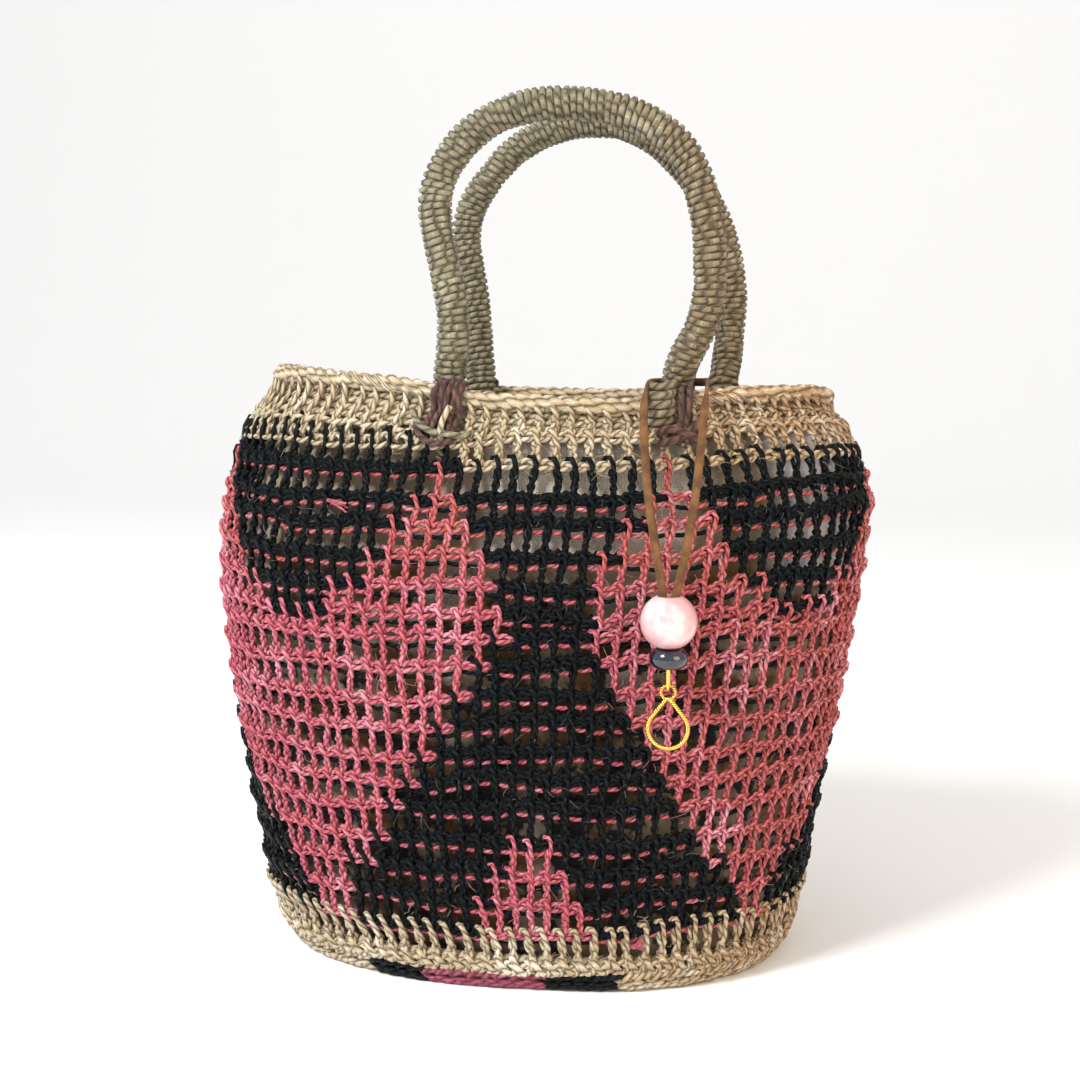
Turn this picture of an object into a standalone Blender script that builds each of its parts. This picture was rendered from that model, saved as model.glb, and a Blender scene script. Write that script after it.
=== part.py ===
"""Bilum string bag: a small bucket tote crocheted in sisal twine, with bound rope handles and a charm.

The bag stands on its base at z = 0, its front faces -Y, and the origin is at the middle of its foot.
Lengths in the tables are in millimetres, and MM turns them into metres.
"""

import math

import bmesh
import bpy
from mathutils import Vector

MM = 0.001

# The wall: how far each level lies from the middle, and how far the bag leans to its right there
LEVELS = [
    {"z": 0.0, "half_width": 97.0, "half_depth": 67.0, "lean": -1.0},
    {"z": 2.0, "half_width": 100.0, "half_depth": 69.5, "lean": -1.0},
    {"z": 7.0, "half_width": 103.8, "half_depth": 71.5, "lean": -1.2},
    {"z": 20.0, "half_width": 108.5, "half_depth": 74.0, "lean": -1.5},
    {"z": 45.0, "half_width": 112.4, "half_depth": 77.0, "lean": -1.9},
    {"z": 75.0, "half_width": 118.0, "half_depth": 79.0, "lean": -2.3},
    {"z": 105.0, "half_width": 122.9, "half_depth": 80.0, "lean": -1.6},
    {"z": 135.0, "half_width": 127.1, "half_depth": 79.0, "lean": -1.4},
    {"z": 160.0, "half_width": 129.3, "half_depth": 76.5, "lean": 0.3},
    {"z": 180.0, "half_width": 128.5, "half_depth": 72.0, "lean": 3.0},
    {"z": 197.0, "half_width": 123.3, "half_depth": 66.5, "lean": 3.7},
    {"z": 208.0, "half_width": 117.0, "half_depth": 62.5, "lean": 4.0},
    {"z": 216.0, "half_width": 109.8, "half_depth": 60.0, "lean": 4.7},
]
ROUNDNESS = 2.3
RIM_Z = 216.0
# How far the mouth's edge rises above its level, from the bag's left end to its right end
FRONT_RISES = [
    (-1.0, 8.5),
    (-0.76, 8.3),
    (-0.42, 5.2),
    (-0.24, 1.5),
    (-0.1, -0.5),
    (0.1, -1.2),
    (0.3, -2.3),
    (0.5, -0.8),
    (0.7, 2.0),
    (0.93, 2.2),
    (1.0, -0.5),
]
BACK_RISES = [
    (-1.0, 8.5),
    (-0.93, 6.0),
    (-0.8, 3.0),
    (-0.5, -1.0),
    (0.0, -2.6),
    (0.5, -2.5),
    (0.8, -2.0),
    (1.0, -0.5),
]
RISE_FADE = 1.5
WALL = 3.0
WIDEST_Z = 160.0
OUTLINE_STEPS = 4000

# The net: 92 columns of stitches, cut through at twice their pitch
COLUMNS = 92
CUT_COLUMNS = COLUMNS // 2
FOOT_ROWS_Z = [0.0, 2.0, 7.0, 20.0, 35.0, 50.0]
CUT_ROWS = 6
CUT_FROM_Z = 64.6
CUT_TO_Z = 193.0
BAND_ROWS_Z = [204.5, 216.0]
POST_HALF_WIDTH = 3.2
BAR_CROWN = 0.4

# The rolled edging round the mouth
ROLL_RADIUS = 3.1
ROLL_GAP = 0.3
ROLL_DIP = 0.88

# The bound rope handles, as routes from the left root over the arch to the right root
ROUTE_STEPS = 12
HANDLE_RADIUS = 6.2
HANDLE_RIDGES = 42
HANDLE_DIP = 0.88
FRONT_ROUTE = [
    (-26.0, -46.9, 202.0),
    (-26.0, -46.9, 216.0),
    (-24.8, -48.2, 227.0),
    (-23.1, -49.6, 240.0),
    (-23.0, -50.0, 252.0),
    (-25.4, -50.0, 265.0),
    (-28.0, -50.0, 277.0),
    (-29.3, -50.0, 287.0),
    (-28.9, -50.0, 295.0),
    (-25.2, -50.0, 304.0),
    (-16.5, -50.0, 314.5),
    (-4.5, -50.0, 321.7),
    (12.0, -50.0, 325.3),
    (33.0, -50.0, 323.8),
    (47.5, -50.0, 318.5),
    (58.3, -50.0, 311.0),
    (65.0, -50.0, 301.0),
    (68.8, -50.0, 290.0),
    (71.2, -50.0, 276.0),
    (71.4, -50.0, 262.0),
    (70.2, -50.0, 251.0),
    (66.8, -49.0, 242.5),
    (62.3, -46.8, 234.5),
    (59.6, -43.8, 226.0),
    (59.0, -42.5, 216.0),
    (59.0, -42.5, 202.0),
]
BACK_ROUTE = [
    (-33.0, 45.9, 202.0),
    (-33.0, 45.9, 216.0),
    (-33.5, 47.6, 228.0),
    (-35.0, 49.6, 245.0),
    (-36.6, 50.0, 262.0),
    (-39.0, 50.0, 275.0),
    (-39.8, 50.0, 284.0),
    (-38.6, 50.0, 293.0),
    (-34.4, 50.0, 302.0),
    (-23.0, 50.0, 316.0),
    (-12.0, 50.0, 324.0),
    (1.0, 50.0, 329.2),
    (15.4, 50.0, 330.7),
    (29.5, 50.0, 328.6),
    (40.5, 50.0, 322.8),
    (49.5, 50.0, 315.0),
    (59.5, 50.0, 303.0),
    (67.0, 50.0, 289.0),
    (71.5, 50.0, 275.0),
    (73.4, 50.0, 262.6),
    (73.6, 50.0, 252.0),
    (72.8, 48.0, 241.0),
    (71.8, 43.4, 230.0),
    (70.8, 39.6, 222.0),
    (70.5, 38.6, 213.0),
    (70.5, 38.6, 202.0),
]

# The lashings that bind each handle's root to the rim
LASHINGS = [
    {"name": "lashing_front_left", "x": -26.0, "side": -1, "width": 14.0, "drop": 17.0, "slant": 7.0},
    {"name": "lashing_front_right", "x": 58.6, "side": -1, "width": 12.6, "drop": 16.0, "slant": 0.0},
    {"name": "lashing_back_left", "x": -33.0, "side": 1, "width": 13.0, "drop": 16.0, "slant": 4.0},
    {"name": "lashing_back_right", "x": 70.5, "side": 1, "width": 13.0, "drop": 16.0, "slant": 0.0},
]
LASHING_STRANDS = 5
LASHING_DROP_SHARES = (1.0, 0.62, 0.25)
LASHING_TURNS_DEGREES = (180, 145, 110, 75)
LASHING_THICKNESS = 2.0
LASHING_GAP = 0.6
LASHING_RIDGE = 0.6

# The canvas lining, an open pouch that hangs inside the net
LINING_SEGMENTS = 36
LINING_ROWS_Z = [4.6, 12.0, 35.0, 80.0, 125.0, 165.0, 190.0, 206.0]
LINING_HEM_FROM_Z = 190.0
LINING_INSET = 6.6
LINING_HEM_INSET = 5.2
LINING_FOLD = 1.2
LINING_FOLDS = 7
LINING_FOLD_LEAN_Z = 60.0
LINING_FULL_FOLD_Z = 40.0
LINING_THICKNESS = 1.0

# The charm that hangs on a suede lace from the front right root
CHARM_X = 61.3
CHARM_Y = -86.0
QUARTZ = {
    "z": 144.5,
    "radius": 10.0,
    "half_height": 9.0,
    "bore": 4.1,
    "arc_points": 8,
    "segments": 18,
}
RONDELLE = {
    "z": 131.6,
    "radius": 6.9,
    "half_height": 3.6,
    "bore": 3.3,
    "edge": 3.4,
    "arc_points": 5,
    "segments": 16,
}
LACE_RADIUS = 1.3
LACE_POINTS = 44
LACE_ROUTE = [
    (59.2, -86.0, 138.0),
    (59.2, -86.0, 146.0),
    (59.0, -85.8, 154.0),
    (56.8, -84.4, 167.0),
    (54.6, -80.2, 185.0),
    (52.2, -73.4, 203.0),
    (50.6, -66.8, 216.0),
    (50.1, -62.2, 223.5),
    (50.0, -56.6, 227.8),
    (50.2, -49.5, 228.6),
    (51.5, -41.0, 228.6),
    (56.0, -35.6, 228.6),
    (62.0, -34.8, 228.6),
    (67.5, -38.0, 228.6),
    (70.4, -45.0, 228.6),
    (71.2, -52.6, 228.0),
    (71.2, -59.0, 223.8),
    (70.6, -65.0, 215.0),
    (69.4, -71.8, 202.0),
    (67.4, -78.6, 185.0),
    (65.4, -83.4, 167.0),
    (63.5, -85.6, 154.0),
    (63.4, -86.0, 146.0),
    (63.4, -86.0, 138.0),
]
LINK = {"low_z": 120.3, "high_z": 130.4, "half_width": 2.2, "wire": 0.55, "arc_points": 6}
PENDANT = {
    "eye_z": 119.4,
    "eye_hole": 1.9,
    "eye_outer": 3.0,
    "eye_points": 12,
    "drop": 13.0,
    "drop_outer": 7.8,
    "rail": 1.6,
    "neck": 1.4,
    "top_corner": 0.6,
    "thickness": 1.4,
    "arc_points": 18,
}

# Finishes: colour, roughness and metallic share
FINISHES = {
    "rose_twine": ((0.62, 0.12, 0.16), 0.85, 0.0),
    "beige_twine": ((0.58, 0.44, 0.27), 0.85, 0.0),
    "olive_twine": ((0.17, 0.14, 0.075), 0.85, 0.0),
    "brown_twine": ((0.12, 0.045, 0.03), 0.85, 0.0),
    "canvas": ((0.36, 0.30, 0.24), 0.9, 0.0),
    "suede": ((0.19, 0.085, 0.03), 0.9, 0.0),
    "rose_quartz": ((0.85, 0.55, 0.55), 0.12, 0.0),
    "dark_glass": ((0.006, 0.008, 0.03), 0.08, 0.0),
    "gold_plate": ((0.83, 0.55, 0.12), 0.22, 1.0),
}


def clear_scene():
    for found in list(bpy.data.objects):
        bpy.data.objects.remove(found, do_unlink=True)


def make_collection(name):
    made = bpy.data.collections.new(name)
    bpy.context.scene.collection.children.link(made)
    return made


def make_material(name):
    colour, roughness, metallic = FINISHES[name]
    made = bpy.data.materials.new(name)
    made.use_nodes = True
    shader = made.node_tree.nodes["Principled BSDF"]
    shader.inputs["Base Color"].default_value = (*colour, 1.0)
    shader.inputs["Roughness"].default_value = roughness
    shader.inputs["Metallic"].default_value = metallic
    return made


def add_object(name, data, collection, material):
    made = bpy.data.objects.new(name, data)
    data.materials.append(material)
    collection.objects.link(made)
    return made


def smooth_route(route, count):
    """Points evenly spaced along the Catmull-Rom curve through a route."""
    knots = [Vector(p) for p in route]
    last = len(knots) - 1
    fine = []
    for i in range(last):
        before, start, end, after = [knots[min(max(i + k, 0), last)] for k in (-1, 0, 1, 2)]
        for step in range(ROUTE_STEPS):
            t = step / ROUTE_STEPS
            straight = 2 * start + (end - before) * t
            bend = (2 * before - 5 * start + 4 * end - after) * t * t
            swing = (3 * start - before - 3 * end + after) * t * t * t
            fine.append(0.5 * (straight + bend + swing))
    fine.append(knots[-1])
    along = [0.0]
    for a, b in zip(fine, fine[1:]):
        along.append(along[-1] + (b - a).length)
    points = []
    at = 0
    for i in range(count):
        wanted = along[-1] * i / (count - 1)
        while at < len(fine) - 2 and along[at + 1] < wanted:
            at += 1
        share = (wanted - along[at]) / (along[at + 1] - along[at])
        points.append(fine[at].lerp(fine[at + 1], min(share, 1.0)))
    return points


def level_at(z):
    """The half width, half depth and lean of the wall at a height, between the rows of LEVELS."""
    z = min(max(z, 0.0), RIM_Z)
    upper = next(i for i in range(1, len(LEVELS)) if LEVELS[i]["z"] >= z)
    low, high = LEVELS[upper - 1], LEVELS[upper]
    share = (z - low["z"]) / (high["z"] - low["z"])
    return tuple(low[k] + (high[k] - low[k]) * share for k in ("half_width", "half_depth", "lean"))


def raised(z, across, side):
    """A height on the even wall, moved with the mouth's edge above it; across runs from -1 to 1."""
    rows = FRONT_RISES if side < 0 else BACK_RISES
    upper = next(i for i in range(1, len(rows)) if rows[i][0] >= across)
    (low, low_rise), (high, high_rise) = rows[upper - 1], rows[upper]
    rise = low_rise + (high_rise - low_rise) * (across - low) / (high - low)
    return z + rise * (max(z, 0.0) / RIM_Z) ** RISE_FADE


def even_angles(count):
    """Angles that part the widest outline into equal lengths, from the right end round the back."""
    half_width, half_depth, _ = level_at(WIDEST_Z)
    outline = []
    for i in range(OUTLINE_STEPS + 1):
        angle = 2 * math.pi * i / OUTLINE_STEPS
        outline.append((angle, *outline_point(angle, half_width, half_depth)))
    along = [0.0]
    for a, b in zip(outline, outline[1:]):
        along.append(along[-1] + math.hypot(b[1] - a[1], b[2] - a[2]))
    angles = []
    at = 0
    for i in range(count):
        while along[at + 1] < along[-1] * i / count:
            at += 1
        angles.append(outline[at][0])
    return angles


def outline_point(angle, half_width, half_depth):
    power = 2 / ROUNDNESS
    cos, sin = math.cos(angle), math.sin(angle)
    x = half_width * math.copysign(abs(cos) ** power, cos)
    y = half_depth * math.copysign(abs(sin) ** power, sin)
    return x, y


def wall_point(angle, z, inset=0.0):
    """A point of the wall in millimetres, inset from its outer face."""
    half_width, half_depth, lean = level_at(z)
    x, y = outline_point(angle, half_width - inset, half_depth - inset)
    return Vector((x + lean, y, raised(z, x / half_width, y)))


def wall_point_at_x(x, side, z, inset):
    """A point of the front wall (side -1) or the back wall (side 1), found from its x."""
    half_width, half_depth, lean = level_at(z)
    across = min(abs(x - lean) / (half_width - inset), 1.0)
    y = side * (half_depth - inset) * (1 - across**ROUNDNESS) ** (1 / ROUNDNESS)
    return Vector((x, y, raised(z, (x - lean) / half_width, side)))


def lofted_rows(rows):
    """A bmesh of rings joined from the first row up, closed underneath, with its rows of faces."""
    work = bmesh.new()
    first = [work.verts.new(p * MM) for p in rows[0]]
    base = work.faces.new(reversed(first))
    edges = [work.edges.get((a, b)) for a, b in zip(first, first[1:] + first[:1])]
    ring = first
    face_rows = []
    for points in rows[1:]:
        made = bmesh.ops.extrude_edge_only(work, edges=edges)["geom"]
        faces = [g for g in made if isinstance(g, bmesh.types.BMFace)]
        above = []
        for vert in ring:
            above.append(next(e.other_vert(vert) for e in vert.link_edges if e.other_vert(vert) in made))
        for vert, point in zip(above, points):
            vert.co = point * MM
        edges = [work.edges.get((a, b)) for a, b in zip(above, above[1:] + above[:1])]
        ring = above
        face_rows.append(faces)
    bmesh.ops.recalc_face_normals(work, faces=work.faces)
    if base.normal.z > 0:
        bmesh.ops.reverse_faces(work, faces=work.faces)
    return work, face_rows


def shell(name, work, thickness, collection, material, offset=-1.0):
    """An object of an open surface, given its thickness by Solidify."""
    mesh = bpy.data.meshes.new(name)
    work.to_mesh(mesh)
    work.free()
    made = add_object(name, mesh, collection, material)
    solidify = made.modifiers.new("thickness", "SOLIDIFY")
    solidify.thickness = thickness * MM
    solidify.offset = offset
    solidify.use_even_offset = True
    solidify.use_rim = True
    return made


def make_net_body(collection, material):
    """The one-piece crocheted base and wall, cut through at twice the stitches' pitch."""
    cut_rows_z = [CUT_FROM_Z + (CUT_TO_Z - CUT_FROM_Z) * i / CUT_ROWS for i in range(CUT_ROWS + 1)]
    heights = FOOT_ROWS_Z + cut_rows_z + BAND_ROWS_Z
    angles = even_angles(CUT_COLUMNS)
    rows = [[wall_point(angle, z) for angle in angles] for z in heights]
    work, face_rows = lofted_rows(rows)
    first_cut = len(FOOT_ROWS_Z)
    cells = [face for row in face_rows[first_cut : first_cut + CUT_ROWS] for face in row]
    bmesh.ops.inset_individual(
        work,
        faces=cells,
        thickness=POST_HALF_WIDTH * MM,
        depth=-BAR_CROWN * MM,
        use_even_offset=True,
    )
    bmesh.ops.delete(work, geom=cells, context="FACES")
    return shell("net_body", work, WALL, collection, material)


def make_rim_roll(collection, material):
    """The thick rolled edging, a ridged tube that lies on the wall's top all the way round."""
    rise = ROLL_GAP + ROLL_RADIUS
    lift = Vector((0, 0, rise))
    route = [wall_point(angle, RIM_Z, WALL / 2) + lift for angle in even_angles(COLUMNS)]
    return ridged_tube("rim_roll", route, ROLL_RADIUS, collection, material, dip=ROLL_DIP, cyclic=True)


def ridged_tube(name, points, radius, collection, material, dip=1.0, roundness=1, cyclic=False):
    """A tube along the points, thinner at every second one."""
    data = bpy.data.curves.new(name, "CURVE")
    data.dimensions = "3D"
    data.bevel_depth = radius * MM
    data.bevel_resolution = roundness
    data.use_fill_caps = not cyclic
    spline = data.splines.new("POLY")
    spline.points.add(len(points) - 1)
    for i, (knot, point) in enumerate(zip(spline.points, points)):
        knot.co = (*(point * MM), 1.0)
        knot.radius = dip if i % 2 else 1.0
    spline.use_cyclic_u = cyclic
    return add_object(name, data, collection, material)


def make_handle(name, route, collection, material):
    """A rope bound with twine, its binding raised as ridges."""
    points = smooth_route(route, 2 * HANDLE_RIDGES)
    return ridged_tube(name, points, HANDLE_RADIUS, collection, material, dip=HANDLE_DIP, roundness=2)


def make_lashing(row, collection, material):
    """Strands side by side that run up the band's face and over the rolled edging to the handle's root."""
    roll_inset = WALL / 2
    roll_rise = ROLL_GAP + ROLL_RADIUS
    reach = ROLL_RADIUS + LASHING_GAP
    profile = [(-LASHING_GAP, -row["drop"] * share) for share in LASHING_DROP_SHARES]
    for degrees in LASHING_TURNS_DEGREES:
        angle = math.radians(degrees)
        profile.append((roll_inset + reach * math.cos(angle), roll_rise + reach * math.sin(angle)))
    columns = 2 * LASHING_STRANDS + 1
    work = bmesh.new()
    grid = []
    for step, (inset, rise) in enumerate(profile):
        low = 1 - step / (len(profile) - 1)
        line = []
        for column in range(columns):
            across = column / (columns - 1) - 0.5
            ridge = LASHING_RIDGE if column % 2 else 0.0
            x = row["x"] + across * row["width"] - row["slant"] * low
            point = wall_point_at_x(x, row["side"], min(RIM_Z + rise, RIM_Z), inset - ridge)
            point.z += max(rise, 0.0)
            line.append(work.verts.new(point * MM))
        grid.append(line)
    for lower, upper in zip(grid, grid[1:]):
        for i in range(columns - 1):
            work.faces.new((lower[i], lower[i + 1], upper[i + 1], upper[i]))
    bmesh.ops.recalc_face_normals(work, faces=work.faces)
    middle = work.faces[:][columns // 2]
    if middle.normal.y * row["side"] < 0:
        bmesh.ops.reverse_faces(work, faces=work.faces)
    return shell(row["name"], work, LASHING_THICKNESS, collection, material, offset=1.0)


def make_lining(collection, material):
    """A thin canvas pouch inside the net, open at the top, with soft upright folds."""
    rows = []
    for z in LINING_ROWS_Z:
        ring = []
        for i, angle in enumerate(even_angles(LINING_SEGMENTS)):
            turn = 2 * math.pi * i / LINING_SEGMENTS
            fold = LINING_FOLD * math.sin(LINING_FOLDS * turn + z / LINING_FOLD_LEAN_Z)
            hem = max(z - LINING_HEM_FROM_Z, 0.0) / (LINING_ROWS_Z[-1] - LINING_HEM_FROM_Z)
            loose = LINING_INSET + fold * min(z / LINING_FULL_FOLD_Z, 1.0)
            ring.append(wall_point(angle, z, loose + (LINING_HEM_INSET - loose) * hem))
        if z == LINING_ROWS_Z[0]:
            for point in ring:
                point.z = z
        rows.append(ring)
    work, _ = lofted_rows(rows)
    return shell("lining", work, LINING_THICKNESS, collection, material)


def turned(name, profile, segments, collection, material):
    """A turned piece: a closed profile of (radius, height) points run round the charm's upright."""
    mesh = bpy.data.meshes.new(name)
    work = bmesh.new()
    points = [work.verts.new((radius * MM, 0, height * MM)) for radius, height in profile]
    for a, b in zip(points, points[1:] + points[:1]):
        work.edges.new((a, b))
    work.to_mesh(mesh)
    work.free()
    made = add_object(name, mesh, collection, material)
    made.location = (CHARM_X * MM, CHARM_Y * MM, 0)
    screw = made.modifiers.new("turn", "SCREW")
    screw.steps = segments
    screw.render_steps = segments
    screw.use_merge_vertices = False
    screw.use_smooth_shade = True
    return made


def make_quartz(collection, material):
    """The round bead with flat ends and a wide bore that the lace enters."""
    radius, half, middle = QUARTZ["radius"], QUARTZ["half_height"], QUARTZ["z"]
    limit = math.asin(half / radius)
    profile = []
    for i in range(QUARTZ["arc_points"] + 1):
        angle = limit - 2 * limit * i / QUARTZ["arc_points"]
        profile.append((radius * math.cos(angle), middle + radius * math.sin(angle)))
    profile.append((QUARTZ["bore"], middle - half))
    profile.append((QUARTZ["bore"], middle + half))
    return turned("bead_quartz", profile, QUARTZ["segments"], collection, material)


def make_rondelle(collection, material):
    """The flat dark bead under it."""
    edge, half, middle = RONDELLE["edge"], RONDELLE["half_height"], RONDELLE["z"]
    profile = []
    for i in range(RONDELLE["arc_points"] + 1):
        angle = math.pi / 2 - math.pi * i / RONDELLE["arc_points"]
        profile.append((RONDELLE["radius"] - edge + edge * math.cos(angle), middle + half * math.sin(angle)))
    profile.append((RONDELLE["bore"], middle - half))
    profile.append((RONDELLE["bore"], middle + half))
    return turned("bead_dark", profile, RONDELLE["segments"], collection, material)


def make_lace(collection, material):
    """The suede lace: up from the bead, round the handle's root and back down, as a plain tube."""
    points = smooth_route(LACE_ROUTE, LACE_POINTS)
    return ridged_tube("charm_lace", points, LACE_RADIUS, collection, material)


def make_link(collection, material):
    """The long wire link that stands in the plane across the bag's face."""
    half = LINK["half_width"]
    steps = LINK["arc_points"]
    points = []
    for centre_z, start in ((LINK["high_z"] - half, 0.0), (LINK["low_z"] + half, math.pi)):
        for i in range(steps + 1):
            angle = start + math.pi * i / steps
            reach, rise = half * math.cos(angle), half * math.sin(angle)
            points.append(Vector((CHARM_X, CHARM_Y + reach, centre_z + rise)))
    return ridged_tube("eye_link", points, LINK["wire"], collection, material, cyclic=True)


def drop_outline(top_radius, top_z, low_radius, low_z, steps):
    """Two circles one above the other, joined by their outer tangents."""
    lean = math.asin((low_radius - top_radius) / (top_z - low_z))
    points = []
    for radius, z, start, sweep in (
        (top_radius, top_z, lean, math.pi - 2 * lean),
        (low_radius, low_z, math.pi - lean, math.pi + 2 * lean),
    ):
        for i in range(steps + 1):
            angle = start + sweep * i / steps
            points.append((radius * math.cos(angle), z + radius * math.sin(angle)))
    return points


def make_pendant(collection, material):
    """A plain open drop with an eye at its top, cut from plate; it swings on the link's lower wire."""
    drop, rail, steps = PENDANT["drop"], PENDANT["rail"], PENDANT["arc_points"]
    outer = drop_outline(PENDANT["eye_outer"], 0.0, PENDANT["drop_outer"], -drop, steps)
    inner_top = -PENDANT["eye_hole"] - rail - PENDANT["neck"]
    inner = drop_outline(PENDANT["top_corner"], inner_top, PENDANT["drop_outer"] - rail, -drop, steps)
    hole, turns = PENDANT["eye_hole"], PENDANT["eye_points"]
    angles = [2 * math.pi * i / turns for i in range(turns)]
    eye = [(hole * math.cos(angle), hole * math.sin(angle)) for angle in angles]
    data = bpy.data.curves.new("pendant", "CURVE")
    data.dimensions = "2D"
    data.fill_mode = "BOTH"
    data.extrude = PENDANT["thickness"] / 2 * MM
    pivot_z = LINK["low_z"]
    for outline in (outer, inner, eye):
        spline = data.splines.new("POLY")
        spline.points.add(len(outline) - 1)
        for knot, (x, z) in zip(spline.points, outline):
            knot.co = (x * MM, (z + PENDANT["eye_z"] - pivot_z) * MM, 0.0, 1.0)
        spline.use_cyclic_u = True
    made = add_object("pendant", data, collection, material)
    made.location = (CHARM_X * MM, CHARM_Y * MM, pivot_z * MM)
    made.rotation_euler = (math.pi / 2, 0, 0)
    return made


def main():
    clear_scene()
    bag = make_collection("bilum_string_bag")
    finish = {name: make_material(name) for name in FINISHES}
    make_net_body(bag, finish["rose_twine"])
    make_rim_roll(bag, finish["beige_twine"])
    make_handle("handle_front", FRONT_ROUTE, bag, finish["olive_twine"])
    make_handle("handle_back", BACK_ROUTE, bag, finish["olive_twine"])
    for row in LASHINGS:
        make_lashing(row, bag, finish["brown_twine"])
    make_lining(bag, finish["canvas"])
    make_lace(bag, finish["suede"])
    make_quartz(bag, finish["rose_quartz"])
    make_rondelle(bag, finish["dark_glass"])
    make_link(bag, finish["gold_plate"])
    make_pendant(bag, finish["gold_plate"])


main()
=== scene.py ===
"""Bilum string bag: the looks of a small bucket tote crocheted in sisal twine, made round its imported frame.

The wall is real crochet: every post is a looped pair of twine legs that hooks over the bar above it.
Lengths in the tables are in millimetres, and MM turns them into metres. The front faces -Y.
Columns run to the right as seen from outside, from the bag's right end round its back.
"""

import math

import bmesh
import bpy
import numpy as np
from bpy.props import FloatProperty, FloatVectorProperty, IntProperty, PointerProperty
from mathutils import Matrix, Vector


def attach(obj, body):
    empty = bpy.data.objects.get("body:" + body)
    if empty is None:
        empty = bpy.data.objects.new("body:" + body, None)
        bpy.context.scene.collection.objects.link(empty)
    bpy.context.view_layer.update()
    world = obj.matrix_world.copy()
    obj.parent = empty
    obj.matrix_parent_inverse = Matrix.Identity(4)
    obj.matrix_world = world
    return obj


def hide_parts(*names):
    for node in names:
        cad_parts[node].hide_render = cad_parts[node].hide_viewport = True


bl_info = {
    "name": "Bilum string bag",
    "version": (1, 0, 0),
    "blender": (4, 5, 0),
    "location": "3D View > Sidebar > Bilum",
    "description": "A crocheted sisal bucket bag with bound rope handles and a bead charm",
    "category": "Object",
}

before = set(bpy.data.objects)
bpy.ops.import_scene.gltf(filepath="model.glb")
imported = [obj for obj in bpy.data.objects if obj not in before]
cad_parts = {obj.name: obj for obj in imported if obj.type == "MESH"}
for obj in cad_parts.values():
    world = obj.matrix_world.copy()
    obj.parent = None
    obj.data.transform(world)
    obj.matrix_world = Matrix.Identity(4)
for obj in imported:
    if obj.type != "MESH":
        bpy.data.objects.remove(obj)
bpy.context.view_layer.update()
MM = 0.001

# The wall: height, half width, half depth and lean to the bag's right, from the foot up
LEVELS = np.array(
    [
        (0.0, 97.0, 67.0, -1.0),
        (2.0, 100.0, 69.5, -1.0),
        (7.0, 103.8, 71.5, -1.2),
        (20.0, 108.5, 74.0, -1.5),
        (45.0, 112.4, 77.0, -1.9),
        (75.0, 118.0, 79.0, -2.3),
        (105.0, 122.9, 80.0, -1.6),
        (135.0, 127.1, 79.0, -1.4),
        (160.0, 129.3, 76.5, 0.3),
        (180.0, 128.5, 72.0, 3.0),
        (197.0, 123.3, 66.5, 3.7),
        (208.0, 117.0, 62.5, 4.0),
        (216.0, 109.8, 60.0, 4.7),
    ]
)
ROUNDNESS = 2.3
RIM_Z = 216.0
# How far the mouth's edge rises above its level, from the bag's left end to its right end
FRONT_RISES = [(-1.0, 8.5), (-0.76, 8.3), (-0.42, 5.2), (-0.24, 1.5), (-0.1, -0.5), (0.1, -1.2), (0.3, -2.3)]
FRONT_RISES += [(0.5, -0.8), (0.7, 2.0), (0.93, 2.2), (1.0, -0.5)]
BACK_RISES = [(-1.0, 8.5), (-0.93, 6.0), (-0.8, 3.0), (-0.5, -1.0), (0.0, -2.6), (0.5, -2.5), (0.8, -2.0)]
BACK_RISES += [(1.0, -0.5)]
RISE_FADE = 1.5
WALL = 3.0
COLUMNS = 92
EDGE_ROSE = [*range(64, 72), *range(17, 25)]
EDGE_BLACK = [60, 61, 62, 63, 72, 73, 74, 75, 76, 12, 13, 14, 15, 16, 25, 26, 27, 28]
WIDEST_Z = 160.0
TABLE_STEPS = 16

# The bars of the rounds, from the rim down: two beige rounds, sixteen patterned ones, and the foot's
BAR_Z = [216.0, 207.0, 198.5]
BAR_Z += [183.0, 174.0, 162.5, 151.5, 142.0, 135.0, 125.0, 113.5, 103.5, 92.0, 82.5, 72.0, 59.5, 49.0, 38.0, 27.0]
BAR_Z += [9.5, 2.0]
FIRST_PATTERNED = 2
FIRST_FOOT = 18
# The mouth's second round is black over these columns, where the black wall starts a round higher
EXTRA_BLACK = range(38, 66)
# How far the rounds stray from the even wall's levels, by column and by height
LIFT_HEIGHTS = [0, 27, 60, 90, 111, 133, 150, 172, 183, 198.5, 207, 216]
LIFT_COLUMNS = [0, 12, 40, 46, 58, 63, 68, 76, 80, 86, 92]
LIFTS = [
    (0, 0, 0, 0, 0, 0, 1.9, 3.5, 5.7, -1, 1, 0),
    (0, 0, 0, 0, 0, 0, 0, 0, 0, 0, 0, 0),
    (0, 0, 0, 0, 0, 0, 0, 0, 0, 0, 0, 0),
    (0, -4, -2, -4, -6, -5, -4, -4, -5.5, -10, -9, 0),
    (0, -4, -3, -5.6, -7, -5, -3.5, -4, -5.7, -10.6, -10, 0),
    (0, -4, -2, -4, -5, -4, -0.5, -2, -1.6, -7.5, -8, 0),
    (0, -4.2, -0.5, 0.5, 0.5, 0.5, 1.5, 1, 1.5, -1.8, 0.5, 0),
    (0, -3.5, 0, 2, 2.3, 2.3, 2.8, 2.8, 2.5, -1.4, 0.8, 0),
    (0, 0, 1, 1, 1, 1, 2.2, 3.2, 5, -1.0, 1.5, 0),
    (0, 0, 0, 0, 0, 0, 1.9, 3.5, 5.7, -1, 1.5, 0),
    (0, 0, 0, 0, 0, 0, 1.9, 3.5, 5.7, -1, 1, 0),
]

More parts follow.
